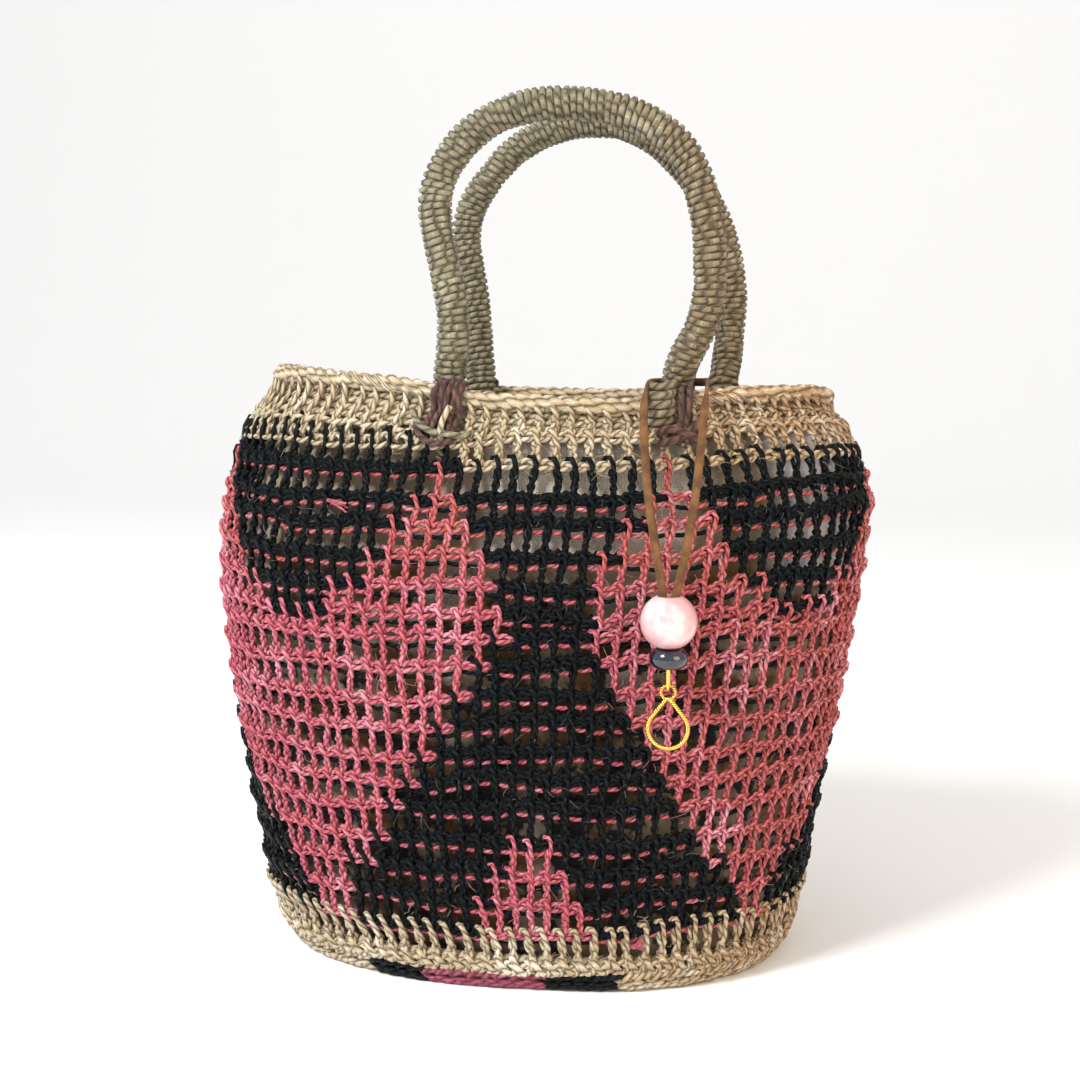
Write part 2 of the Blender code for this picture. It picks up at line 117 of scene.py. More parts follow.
# The pattern: how far its edges lie from the middle of a dark hourglass, as a share of the repeat, by height
DARK_EDGE = [(28, 0.458), (42, 0.417), (67, 0.314), (90, 0.222), (113, 0.142), (135, 0.072)]
DARK_EDGE += [(149, 0.080), (163, 0.115), (177, 0.165), (199, 0.239)]
WEDGE_EDGE = [(136, 0.52), (147, 0.41), (162, 0.33), (177, 0.275), (199, 0.240)]
SMALL_TRIANGLE = [(32, 3.6), (54.5, 1.6), (57, 0.0)]
SMALL_MIDDLE = 71.0
MIDDLE_COLUMN = 71.05
FRONT_REPEAT = 26.9
BACK_REPEAT = 19.1

ROLL_RADIUS = 3.1
ROLL_GAP = 0.3
HANDLE_RADIUS = 6.2
FRONT_ROUTE = [
    (-26.0, -46.9, 202.0), (-26.0, -46.9, 216.0), (-24.8, -48.2, 227.0), (-23.1, -49.6, 240.0),
    (-23.0, -50.0, 252.0), (-25.4, -50.0, 265.0), (-28.0, -50.0, 277.0), (-29.3, -50.0, 287.0),
    (-28.9, -50.0, 295.0), (-25.2, -50.0, 304.0), (-16.5, -50.0, 314.5), (-4.5, -50.0, 321.7),
    (12.0, -50.0, 325.3), (33.0, -50.0, 323.8), (47.5, -50.0, 318.5), (58.3, -50.0, 311.0),
    (65.0, -50.0, 301.0), (68.8, -50.0, 290.0), (71.2, -50.0, 276.0), (71.4, -50.0, 262.0),
    (70.2, -50.0, 251.0), (66.8, -49.0, 242.5), (62.3, -46.8, 234.5), (59.6, -43.8, 226.0),
    (59.0, -42.5, 216.0), (59.0, -42.5, 202.0),
]
BACK_ROUTE = [
    (-33.0, 45.9, 202.0), (-33.0, 45.9, 216.0), (-33.5, 47.6, 228.0), (-35.0, 49.6, 245.0),
    (-36.6, 50.0, 262.0), (-39.0, 50.0, 275.0), (-39.8, 50.0, 284.0), (-38.6, 50.0, 293.0),
    (-34.4, 50.0, 302.0), (-23.0, 50.0, 316.0), (-12.0, 50.0, 324.0), (1.0, 50.0, 329.2),
    (15.4, 50.0, 330.7), (29.5, 50.0, 328.6), (40.5, 50.0, 322.8), (49.5, 50.0, 315.0),
    (59.5, 50.0, 303.0), (67.0, 50.0, 289.0), (71.5, 50.0, 275.0), (73.4, 50.0, 262.6),
    (73.6, 50.0, 252.0), (72.8, 48.0, 241.0), (71.8, 43.4, 230.0), (70.8, 39.6, 222.0),
    (70.5, 38.6, 213.0), (70.5, 38.6, 202.0),
]

LASHINGS = [
    {"node": "lashing_front_left", "x": -20.5, "side": -1, "strands": 5, "width": 10.5, "drop": 9.0, "slant": 4.5},
    {"node": "lashing_front_right", "x": 64.0, "side": -1, "strands": 2, "width": 5.0, "drop": 11.0, "slant": 1.0},
    {"node": "lashing_back_left", "x": -33.0, "side": 1, "strands": 5, "width": 12.0, "drop": 12.0, "slant": 4.0},
    {"node": "lashing_back_right", "x": 70.5, "side": 1, "strands": 5, "width": 12.0, "drop": 12.0, "slant": 0.0},
]
# Single strands tied across the band under the lashings: places as x, height and how far they stand out
TIES = [
    ("olive_tie", "olive", 1.25, [(-36.5, 212, -1), (-34, 208.6, 1.2), (-29, 206.4, 2), (-22, 206.2, 2.2), (-16, 206.2, 1.6), (-13, 207.5, -1)]),
    ("brown_tie", "brown", 1.2, [(-35, 207, -1), (-32, 203.6, 1), (-27, 202.2, 1.6), (-22, 203.4, 1.2), (-19, 205, -1)]),
    ("grey_tie", "beige", 1.15, [(-21, 216, 4.2), (-23.5, 211, 3.6), (-24.5, 206.5, 2.6), (-24, 203.5, -0.5)]),
    ("knot_over", "brown", 1.5, [(54, 208.5, -0.5), (57, 210.5, 1.6), (62, 209.5, 2.4), (67, 207, 1.8), (69.5, 205, -0.5)]),
    ("knot_under", "brown", 1.5, [(54.5, 205.5, -0.5), (58, 206, 1.8), (63, 207.5, 1.4), (67.5, 210.5, 2.0), (69.5, 212, 0)]),
]

LINING_FROM_Z = 4.6
LINING_TO_Z = 206.0
LINING_HEM_FROM_Z = 190.0
LINING_INSET = 6.6
LINING_HEM_INSET = 5.2
LINING_FOLD = 1.2
LINING_FOLDS = 7

CHARM_X = 61.3
CHARM_Y = -86.0
QUARTZ = {"z": 144.5, "radius": 10.0, "half_height": 9.0, "bore": 4.1}
RONDELLE = {"z": 131.6, "radius": 6.9, "half_height": 3.6, "bore": 3.3, "edge": 3.4}
LACE_WIDTH = 3.0
LACE_THICKNESS = 1.5
LACE_ROUTE = [
    (59.2, -86.0, 138.0), (59.2, -86.0, 146.0), (59.0, -85.8, 154.0), (56.8, -84.4, 167.0),
    (53.4, -80.2, 185.0), (51.0, -73.4, 203.0), (49.8, -66.8, 214.0), (49.6, -62.2, 221.0),
    (50.0, -56.6, 224.9), (50.2, -49.5, 225.6), (51.5, -41.0, 225.6), (56.0, -35.6, 225.6),
    (62.0, -34.8, 225.6), (67.5, -38.0, 225.6), (70.4, -45.0, 225.9), (71.2, -52.6, 225.9),
    (71.2, -59.0, 221.9), (70.9, -65.0, 214.0), (70.4, -71.8, 202.0), (69.0, -78.6, 185.0),
    (66.4, -83.4, 167.0), (63.7, -85.6, 154.0), (63.4, -86.0, 146.0), (63.4, -86.0, 138.0),
]
LINK = {"low_z": 120.3, "high_z": 130.4, "half_width": 2.2, "wire": 0.55}
PENDANT_EYE_Z = 119.4

CAMERA_AT = (0.11366, -0.63999, 0.2440)
CAMERA_TURN = 10.0
CAMERA_DOWN = 7.3
CAMERA_LENS = 54.17


# Shapes


def level_at(z):
    """The half width, half depth and lean of the wall at some heights."""
    return [np.interp(z, LEVELS[:, 0], LEVELS[:, column]) for column in (1, 2, 3)]


def outline_points(angle, half_width, half_depth):
    power = 2 / ROUNDNESS
    cos, sin = np.cos(angle), np.sin(angle)
    x = half_width * np.sign(cos) * np.abs(cos) ** power
    y = half_depth * np.sign(sin) * np.abs(sin) ** power
    return x, y


def column_table():
    """Angles that part the widest outline into equal lengths, and the distance between two columns there."""
    angles = np.linspace(0, 2 * math.pi, 20001)
    half_width, half_depth, _ = level_at(WIDEST_Z)
    x, y = outline_points(angles, half_width, half_depth)
    along = np.concatenate([[0], np.cumsum(np.hypot(np.diff(x), np.diff(y)))])
    wanted = np.linspace(0, along[-1], COLUMNS * TABLE_STEPS + 1)
    return np.interp(wanted, along, angles), along[-1] / COLUMNS


COLUMN_ANGLES, WIDEST_PITCH = column_table()


def column_pitch(z):
    half_width, half_depth, _ = level_at(z)
    widest = sum(level_at(WIDEST_Z)[:2])
    return WIDEST_PITCH * (half_width + half_depth) / widest


def wall(column, z, out):
    """Points of the wall in millimetres: by column, by height on the even wall, and by how far they stand out."""
    column = np.asarray(column, float)
    half_width, half_depth, lean = level_at(z)
    table = np.arange(COLUMNS * TABLE_STEPS + 1)
    angle = np.interp((column % COLUMNS) * TABLE_STEPS, table, COLUMN_ANGLES)
    x, y = outline_points(angle, half_width + out, half_depth + out)
    front = np.interp(x / half_width, *zip(*FRONT_RISES))
    back = np.interp(x / half_width, *zip(*BACK_RISES))
    height = z + np.where(y < 0, front, back) * (np.maximum(z, 0) / RIM_Z) ** RISE_FADE
    return np.stack([x + lean, y, height], axis=-1)


def wall_at_x(x, side, z, inset):
    """A point of the front wall (side -1) or the back wall (side 1), found from its x."""
    half_width, half_depth, lean = level_at(z)
    across = min(abs(x - lean) / (half_width - inset), 1.0)
    y = side * (half_depth - inset) * (1 - across**ROUNDNESS) ** (1 / ROUNDNESS)
    rise = np.interp((x - lean) / half_width, *zip(*(FRONT_RISES if side < 0 else BACK_RISES)))
    return np.array([x, y, z + rise * (z / RIM_Z) ** RISE_FADE])


def smooth(routes, count):
    """Catmull-Rom curves through each route's points, at an even count of places."""
    routes = np.asarray(routes, float)
    last = routes.shape[1] - 1
    place = np.linspace(0, last, count)
    start = np.minimum(place.astype(int), last - 1)
    t = (place - start)[None, :, None]
    before, here = routes[:, np.maximum(start - 1, 0)], routes[:, start]
    there, after = routes[:, start + 1], routes[:, np.minimum(start + 2, last)]
    return 0.5 * (
        2 * here
        + (there - before) * t
        + (2 * before - 5 * here + 4 * there - after) * t**2
        + (3 * here - before - 3 * there + after) * t**3
    )


def even_route(route, count):
    """One smooth route with its points evenly spaced, and its length."""
    fine = smooth([route], 40 * len(route))[0]
    steps = np.linalg.norm(np.diff(fine, axis=0), axis=1)
    along = np.concatenate([[0], np.cumsum(steps)])
    wanted = np.linspace(0, along[-1], count)
    return np.stack([np.interp(wanted, along, fine[:, k]) for k in range(3)], axis=-1), along[-1]


def unit(vectors):
    return vectors / np.maximum(np.linalg.norm(vectors, axis=-1, keepdims=True), 1e-9)


def carried_frames(points, first=None):
    """Two crossways directions for each point of each route, carried along it without twist."""
    tangent = unit(np.gradient(points, axis=1))
    if first is None:
        first = np.where(np.abs(tangent[:, :1, 2:]) > 0.8, (1.0, 0.0, 0.0), (0.0, 0.0, 1.0))[:, 0]
    side = np.empty_like(points)
    side[:, 0] = unit(first - np.sum(first * tangent[:, 0], axis=-1, keepdims=True) * tangent[:, 0])
    for i in range(1, points.shape[1]):
        kept = side[:, i - 1] - np.sum(side[:, i - 1] * tangent[:, i], axis=-1, keepdims=True) * tangent[:, i]
        side[:, i] = unit(kept)
    return side, np.cross(tangent, side)


def add_piece(name, mesh, finish, body="bag", replaces=()):
    """A finished piece: its finish, its body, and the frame's nodes that it stands for."""
    made = bpy.data.objects.new(name, mesh)
    bpy.context.scene.collection.objects.link(made)
    mesh.materials.clear()
    mesh.materials.append(finish)
    mesh.polygons.foreach_set("use_smooth", [True] * len(mesh.polygons))
    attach(made, body)
    if replaces:
        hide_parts(*replaces)
    return made


def strand_template(rings, sides):
    """A closed straight tube, with its length on U and its girth on V."""
    work = bmesh.new()
    made = bmesh.ops.create_circle(work, segments=sides, radius=1.0)["verts"]
    first = sorted(made, key=lambda v: math.atan2(v.co.y, v.co.x) % (2 * math.pi - 1e-4))
    edges = list(work.edges)
    for _ in range(rings - 1):
        grown = bmesh.ops.extrude_edge_only(work, edges=edges)["geom"]
        verts = [g for g in grown if isinstance(g, bmesh.types.BMVert)]
        edges = [g for g in grown if isinstance(g, bmesh.types.BMEdge) and all(v in verts for v in g.verts)]
        bmesh.ops.translate(work, verts=verts, vec=(0, 0, 1))
    work.faces.new(reversed(first))
    bmesh.ops.holes_fill(work, edges=edges, sides=sides)
    bmesh.ops.recalc_face_normals(work, faces=work.faces)
    work.verts.index_update()
    uv = work.loops.layers.uv.new("UVMap")
    for face in work.faces:
        turns = [(math.atan2(loop.vert.co.y, loop.vert.co.x) / (2 * math.pi)) % 1.0 for loop in face.loops]
        wraps = len(face.loops) == 4 and max(turns) - min(turns) > 0.5
        for loop, turn in zip(face.loops, turns):
            turn = round(turn * sides) % sides / sides
            whole = 1.0 if wraps and turn < 0.25 else 0.0
            loop[uv].uv = (loop.vert.co.z / (rings - 1), turn + whole)
    mesh = bpy.data.meshes.new("strand")
    work.to_mesh(mesh)
    work.free()
    return mesh


def strand_mesh(name, routes, radii, tones, sides=5, frames=None, widths=None, stretch=1.0):
    """One mesh of many strands: a template repeated, then laid along the routes, which are in millimetres."""
    routes = np.asarray(routes, float)
    count, rings = routes.shape[:2]
    template = strand_template(rings, sides)
    holder = bpy.data.objects.new(name, template)
    bpy.context.scene.collection.objects.link(holder)
    copies = holder.modifiers.new("copies", "ARRAY")
    copies.count = count
    copies.use_relative_offset = False
    depsgraph = bpy.context.evaluated_depsgraph_get()
    mesh = bpy.data.meshes.new_from_object(holder.evaluated_get(depsgraph))
    plain = np.zeros(len(template.vertices) * 3)
    template.vertices.foreach_get("co", plain)
    plain = plain.reshape(-1, 3)
    ring = np.rint(plain[:, 2]).astype(int)
    cos, sin = plain[:, 0], plain[:, 1]
    side, up = frames if frames is not None else carried_frames(routes)
    radii = np.broadcast_to(np.asarray(radii, float).reshape(count if np.ndim(radii) else 1, -1), (count, rings))
    across = radii if widths is None else np.broadcast_to(widths, (count, rings))
    places = (
        routes[:, ring]
        + (across[:, ring] * cos)[..., None] * side[:, ring]
        + (radii[:, ring] * sin)[..., None] * up[:, ring]
    )
    mesh.vertices.foreach_set("co", (places * MM).ravel())
    lengths = np.linalg.norm(np.diff(routes, axis=1), axis=2).sum(axis=1)
    layer = mesh.uv_layers[0].data
    uv = np.zeros(len(layer) * 2)
    layer.foreach_get("uv", uv)
    uv = uv.reshape(count, -1, 2)
    tones = np.broadcast_to(tones, (count,))
    uv[:, :, 0] = uv[:, :, 0] * lengths[:, None] / stretch + tones[:, None] * 7
    layer.foreach_set("uv", uv.ravel())
    tone = mesh.attributes.new("tone", "FLOAT", "POINT")
    tone.data.foreach_set("value", np.repeat(tones, len(plain)))
    bpy.data.objects.remove(holder)
    bpy.data.meshes.remove(template)
    mesh.update()
    return mesh


def merged(name, meshes):
    """Several meshes as one, with their UV maps and tones."""
    work = bmesh.new()
    for mesh in meshes:
        work.from_mesh(mesh)
        bpy.data.meshes.remove(mesh)
    whole = bpy.data.meshes.new(name)
    work.to_mesh(whole)
    work.free()
    return whole


# Finishes


class Wire:
    """A number in a finish's node tree; Python's signs on it add Math nodes."""

    def __init__(self, finish, socket):
        self.finish = finish
        self.socket = socket

    def joined(self, operation, *terms):
        return self.finish.node("ShaderNodeMath", {"operation": operation}, dict(enumerate(terms)))

    def __add__(self, other):
        return self.joined("ADD", self, other)

    def __radd__(self, other):
        return self.joined("ADD", other, self)

    def __sub__(self, other):
        return self.joined("SUBTRACT", self, other)

    def __rsub__(self, other):
        return self.joined("SUBTRACT", other, self)

    def __mul__(self, other):
        return self.joined("MULTIPLY", self, other)

    def __rmul__(self, other):
        return self.joined("MULTIPLY", other, self)

    def __truediv__(self, other):
        return self.joined("DIVIDE", self, other)

    def __pow__(self, other):
        return self.joined("POWER", self, other)

    def __gt__(self, other):
        return self.joined("GREATER_THAN", self, other)


class Finish:
    """A procedural material under construction."""

    def __init__(self, name, **constants):
        self.material = bpy.data.materials.new(name)
        self.material.use_nodes = True
        self.tree = self.material.node_tree
        self.shader = self.tree.nodes["Principled BSDF"]
        for key, value in constants.items():
            self.shader.inputs[key.replace("_", " ")].default_value = value

    def node(self, kind, settings=None, sockets=None, output=0):
        made = self.tree.nodes.new(kind)
        for key, value in (settings or {}).items():
            if key == "stops":
                ramp = made.color_ramp.elements
                while len(ramp) < len(value):
                    ramp.new(0.5)
                for stop, (place, colour) in zip(ramp, value):
                    stop.position = place
                    stop.color = (*colour, 1.0)
            else:
                setattr(made, key, value)
        for key, value in (sockets or {}).items():
            socket = made.inputs[key]
            if isinstance(value, Wire):
                self.tree.links.new(value.socket, socket)
            elif hasattr(value, "__len__") and len(value) == 3 and socket.type == "RGBA":
                socket.default_value = (*value, 1.0)
            else:
                socket.default_value = value
        return Wire(self, made.outputs[output])

    def mix(self, share, first, second, blend="MIX"):
        settings = {"data_type": "RGBA", "blend_type": blend, "clamp_factor": True}
        return self.node("ShaderNodeMix", settings, {0: share, 6: first, 7: second}, 2)

    def smoothstep(self, value, low, high):
        settings = {"interpolation_type": "SMOOTHSTEP"}
        return self.node("ShaderNodeMapRange", settings, {"Value": value, "From Min": low, "From Max": high})

    def vector(self, x, y, z):
        return self.node("ShaderNodeCombineXYZ", {}, {0: x, 1: y, 2: z})

    def parts(self, vector):
        made = self.node("ShaderNodeSeparateXYZ", {}, {0: vector})
        return [Wire(self, socket) for socket in made.socket.node.outputs]

    def uv(self):
        return self.parts(self.node("ShaderNodeTexCoord", {}, {}, "UV"))

    def place(self):
        return self.node("ShaderNodeTexCoord", {}, {}, "Object")

    def noise(self, vector, scale, detail=3.0, rough=0.6):
        sockets = {"Vector": vector, "Scale": scale, "Detail": detail, "Roughness": rough}
        return self.node("ShaderNodeTexNoise", {}, sockets)

    def attribute(self, name):
        return self.node("ShaderNodeAttribute", {"attribute_name": name}, {}, "Fac")

    def bump(self, height, distance, strength=1.0):
        sockets = {"Height": height, "Distance": distance, "Strength": strength}
        return self.node("ShaderNodeBump", {}, sockets)

    def feed(self, **wires):
        for key, wire in wires.items():
            self.tree.links.new(wire.socket, self.shader.inputs[key.replace("_", " ")])
        return self.material


def twine_finish(name, colours, lay, roughness=0.8, sheen=0.08, relief=0.0007, high=0.0, loose=0.0):
    """Two-ply twine: plies that slant round the strand, fine fibres along them, painted shade in the grooves and
    painted highlights on the plies, warmer towards the bag's right end as painted warm light.
    """
    # The colours: the twine's own, the same twine under painted warm light, pale patches that also serve as painted
    # highlights, and painted shade for the grooves.
    cool, warm_lit_colour, pale, deep = colours
    finish = Finish(name, Roughness=roughness, Sheen_Weight=sheen, Sheen_Roughness=0.5)
    along, girth, _ = finish.uv()
    place = finish.place()
    turn = along / lay + girth * 2 + finish.noise(place, 130.0, 1.0) * loose
    wave = turn.joined("FRACT", turn)
    arch = 1 - (wave * 2 - 1) ** 2
    tone = finish.attribute("tone")
    fibre = finish.noise(finish.vector(along * 0.55, turn * 13, tone * 9), 1.0, 3.0, 0.75)
    x, _, z = finish.parts(place)
    blotch = finish.noise(place, 45.0, 2.0)
    # Painted warm light: the colour warms towards the bag's right end, where the warm fill light falls, and also
    # high up on the wall by the share high.
    warmth = finish.smoothstep(x, 0.0, 0.12) + finish.smoothstep(z, 0.145, 0.17) * high
    ground = finish.mix(warmth, cool, warm_lit_colour)
    ground = finish.mix(finish.smoothstep(blotch + tone * 0.3, 0.62, 1.15), ground, pale)
    # Painted shade darkens the grooves between the plies, and painted highlights lighten their crowns.
    shade = finish.smoothstep(arch * 0.7 + fibre * 0.9, 0.25, 1.2)
    colour = finish.mix(shade, deep, ground)
    colour = finish.mix(finish.smoothstep(fibre + arch * 0.35, 0.82, 1.05), colour, pale)
    height = arch ** 0.7 * 0.85 + fibre * 0.5
    return finish.feed(Base_Color=colour, Normal=finish.bump(height, relief))


def black_finish(name):
    """Dyed black twine with faint blue painted highlights on its fibres, browner where the dye is thin."""
    finish = Finish(name, Roughness=0.5, Specular_IOR_Level=0.12)
    along, girth, _ = finish.uv()
    turn = along / 3.2 + girth * 2
    wave = turn.joined("FRACT", turn)
    arch = 1 - (wave * 2 - 1) ** 2
    fibre = finish.noise(finish.vector(along * 0.5, turn * 12, 0), 1.0, 3.0, 0.75)
    blotch = finish.noise(finish.place(), 28.0, 2.0)
    ground = finish.mix(finish.smoothstep(blotch, 0.5, 0.7), (0.0008, 0.0011, 0.0015), (0.003, 0.0024, 0.0018))
    # Painted highlights: faint blue-grey streaks on the crowns of the plies.
    painted_highlight = finish.smoothstep(fibre + arch * 0.2, 0.62, 0.9)
    colour = finish.mix(painted_highlight * finish.smoothstep(arch, 0.3, 0.8), ground, (0.028, 0.04, 0.047))
    height = arch ** 0.6 * 0.8 + fibre * 0.5
    return finish.feed(Base_Color=colour, Normal=finish.bump(height, 0.0006))


def canvas_finish(name):
    """The lining: plain-woven canvas, smooth tan cloth and pale cloth; brown low down, partly its own colour and
    partly painted shade, with near-black patches of painted shade in the folds.
    """
    finish = Finish(name, Roughness=0.9, Sheen_Weight=0.15)
    along, up, _ = finish.uv()
    thread = 0.62
    warp = (along / thread).joined("FRACT", along / thread)
    weft = (up / thread).joined("FRACT", up / thread)
    warp_arch = 1 - (warp * 2 - 1) ** 2
    weft_arch = 1 - (weft * 2 - 1) ** 2
    over_warp = (along / thread).joined("FLOOR", along / thread)
    over_weft = (up / thread).joined("FLOOR", up / thread)
    parity = (over_warp + over_weft).joined("PINGPONG", over_warp + over_weft, 1.0)
    weave = warp_arch * (1 - parity) + weft_arch * parity
    threads = finish.noise(finish.vector(over_warp * 0.37, over_weft * 0.53, 0), 3.0, 1.0)
    place = finish.place()
    blotch = finish.noise(place, 42.0, 3.0, 0.55)
    drape = finish.noise(place, 90.0, 3.0, 0.6)
    # Painted shade: the canvas is darker in the dips between its threads.
    canvas = finish.mix(weave * 0.6 + threads * 0.5, (0.25, 0.21, 0.155), (0.95, 0.86, 0.72))
    brown = finish.mix(finish.smoothstep(blotch, 0.46, 0.54), (0.16, 0.075, 0.02), (0.36, 0.29, 0.21))
    _, _, height = finish.parts(place)
    # Painted shade: near-black patches on the brown cloth in the folds, more of them below 0.14 m.
    dark = finish.smoothstep(drape + finish.smoothstep(0.14 - height, 0.0, 0.06) * 0.08, 0.56, 0.64)
    brown = finish.mix(dark, brown, (0.006, 0.005, 0.005))
    tan = finish.mix(drape, (0.34, 0.25, 0.16), (0.52, 0.42, 0.30))
    pale = finish.mix(drape, (0.80, 0.78, 0.88), (0.95, 0.95, 1.0))
    # Low down the cloth is brown, partly its own colour and partly painted shade of the bag's lower inside.
    low = finish.attribute("low")
    colour = finish.mix(low, tan, brown)
    colour = finish.mix(finish.attribute("pale"), colour, pale)
    colour = finish.mix(finish.attribute("canvas"), colour, canvas)
    return finish.feed(Base_Color=colour, Normal=finish.bump(weave + drape, 0.0003))


def suede_finish(name):
    """Flat suede lace: short nap, with paler scuffs."""
    finish = Finish(name, Roughness=0.9, Sheen_Weight=0.05, Sheen_Roughness=0.5)
    place = finish.place()
    nap = finish.noise(place, 1800.0, 4.0, 0.7)
    scuff = finish.noise(place, 160.0, 3.0)
    colour = finish.mix(finish.smoothstep(scuff, 0.35, 0.7), (0.09, 0.036, 0.009), (0.19, 0.085, 0.024))
    colour = finish.mix(finish.smoothstep(nap, 0.55, 0.95), colour, (0.24, 0.12, 0.04))
    return finish.feed(Base_Color=colour, Normal=finish.bump(nap, 0.0002, 0.7))


def quartz_finish(name):
    """Milky rose quartz with cloudy veins under a polish."""
    finish = Finish(name, Roughness=0.22, Subsurface_Weight=0.25, Subsurface_Scale=0.004, Coat_Weight=0.6)
    finish.shader.inputs["Subsurface Radius"].default_value = (1.0, 0.5, 0.45)
    finish.shader.inputs["Coat Roughness"].default_value = 0.08
    place = finish.place()
    cloud = finish.noise(place, 95.0, 4.0, 0.55)
    vein = finish.noise(place, 260.0, 5.0, 0.7)
    colour = finish.mix(finish.smoothstep(cloud, 0.35, 0.68), (0.66, 0.36, 0.37), (0.90, 0.66, 0.65))
    colour = finish.mix(finish.smoothstep(vein, 0.6, 0.8), colour, (0.97, 0.86, 0.85))
    return finish.feed(Base_Color=colour, Roughness=vein * 0.15 + 0.14)


def dark_stone_finish(name):
    """Blue-black glass stone full of fine glints."""
    finish = Finish(name, Roughness=0.16, Coat_Weight=0.9, IOR=1.55)
    finish.shader.inputs["Coat Roughness"].default_value = 0.05
    place = finish.place()
    settings = {"feature": "F1"}
    glint = finish.node("ShaderNodeTexVoronoi", settings, {"Vector": place, "Scale": 3200.0}, "Distance")
    chance = finish.noise(place, 2100.0, 1.0)
    spark = (0.22 - glint).joined("MULTIPLY", 0.22 - glint, 6.0) * finish.smoothstep(chance, 0.5, 0.62)
    colour = finish.mix(spark, (0.003, 0.005, 0.018), (0.55, 0.62, 0.95))
    return finish.feed(Base_Color=colour)


def gold_finish(name, twist):
    """Gold plate on wire that was finely twisted, darker in its grooves as painted shade."""
    finish = Finish(name, Metallic=1.0)
    along, girth, _ = finish.uv()
    turn = along / 0.9 + girth * 2
    wave = turn.joined("FRACT", turn)
    arch = 1 - (wave * 2 - 1) ** 2
    cloud = finish.noise(finish.place(), 900.0, 3.0)
    # Painted shade: darker gold in the twist's grooves.
    colour = finish.mix(arch * twist + (1 - twist), (0.55, 0.27, 0.03), (0.93, 0.62, 0.14))
    normal = finish.bump(arch * twist + cloud * 0.1, 0.00022)
    return finish.feed(Base_Color=colour, Roughness=cloud * 0.15 + 0.16, Normal=normal)


def fuzz_finish(name):
    """Stray fibres, coloured by their own tint."""
    finish = Finish(name, Roughness=0.7, Sheen_Weight=0.2)
    tint = finish.node("ShaderNodeAttribute", {"attribute_name": "tint"}, {}, "Color")
    tone = finish.attribute("tone")
    return finish.feed(Base_Color=finish.mix(tone * 0.3, tint, (0.7, 0.62, 0.5)))


def paper_finish(name, colour):
    finish = Finish(name, Roughness=0.85)
    grain = finish.noise(finish.place(), 14.0, 3.0)
    low = tuple(c * 0.985 for c in colour)
    return finish.feed(Base_Color=finish.mix(grain, low, colour))


# What a user may change


class BilumTwine(bpy.types.PropertyGroup):
    rose: FloatVectorProperty(
        name="Rose", description="The rose twine's colour on the bag's left half", subtype="COLOR",
        default=(0.60, 0.095, 0.14), min=0, max=1,
    )
    # Painted warm light: the rose as painted under the warm fill light, towards the bag's right end.
    warm_lit_rose: FloatVectorProperty(
        name="Coral", description="The warmer rose towards the bag's right end", subtype="COLOR",
        default=(0.52, 0.085, 0.07), min=0, max=1,
    )
    beige: FloatVectorProperty(
        name="Beige", description="Undyed sisal at the mouth and foot", subtype="COLOR",
        default=(0.52, 0.41, 0.25), min=0, max=1,
    )
    olive: FloatVectorProperty(
        name="Olive", description="The twine that binds the handles", subtype="COLOR",
        default=(0.22, 0.19, 0.115), min=0, max=1,
    )
    brown: FloatVectorProperty(
        name="Brown", description="The dark twine of the lashings", subtype="COLOR",
        default=(0.085, 0.03, 0.02), min=0, max=1,
    )
    leg_radius: FloatProperty(
        name="Leg radius", description="Half the thickness of one leg of a stitch, in millimetres",
        default=0.86, min=0.3, max=1.5,
    )
    fibres: IntProperty(
        name="Stray fibres", description="How many loose fibres stand out of the net", default=2300, min=0,
    )


class BilumStage(bpy.types.PropertyGroup):
    floor: FloatVectorProperty(
        name="Floor", description="The paper floor's colour", subtype="COLOR",
        default=(0.97, 0.97, 0.97), min=0, max=1,
    )
    key: FloatProperty(
        name="Key light", description="The main light's power", subtype="POWER", default=30.0, min=0,
    )
    fill: FloatProperty(
        name="Fill light", description="The fill light's power", subtype="POWER", default=8.0, min=0,
    )
    sky: FloatProperty(
        name="Sky", description="How bright the white surroundings are", default=0.78, min=0,
    )


# The net


def repeat_share(column):
    """How far a column lies from the middle of the nearest dark hourglass, from 0 to half a repeat."""
    turn = (np.asarray(column, float) - MIDDLE_COLUMN + COLUMNS / 2) % COLUMNS - COLUMNS / 2
    front = np.abs(turn) / FRONT_REPEAT
    back = 1 + (np.abs(turn) - FRONT_REPEAT) / BACK_REPEAT
    place = np.where(np.abs(turn) <= FRONT_REPEAT, front, back)
    return np.abs(place - np.rint(place))


def is_rose(column, z):
    """Whether the pattern is rose at a column and height."""
    share = repeat_share(column)
    dark = np.interp(z, *zip(*DARK_EDGE))
    wedge = np.interp(z, *zip(*WEDGE_EDGE))
    small = np.interp(z, *zip(*SMALL_TRIANGLE))
    inner = np.abs(np.asarray(column, float) - SMALL_MIDDLE) < small
    return ((share > dark) & (share < wedge)) | inner


def row_lift(column, z):
    """How far a round strays up from its even level."""
    column, z = np.broadcast_arrays(column % COLUMNS, z)
    table = np.stack([np.interp(z, LIFT_HEIGHTS, row) for row in LIFTS])
    place = np.interp(column, LIFT_COLUMNS, np.arange(len(LIFTS)))
    low = np.minimum(place.astype(int), len(LIFTS) - 2)
    below = np.take_along_axis(table, low[None], 0)[0]
    above = np.take_along_axis(table, low[None] + 1, 0)[0]
    return below + (above - below) * (place - low)


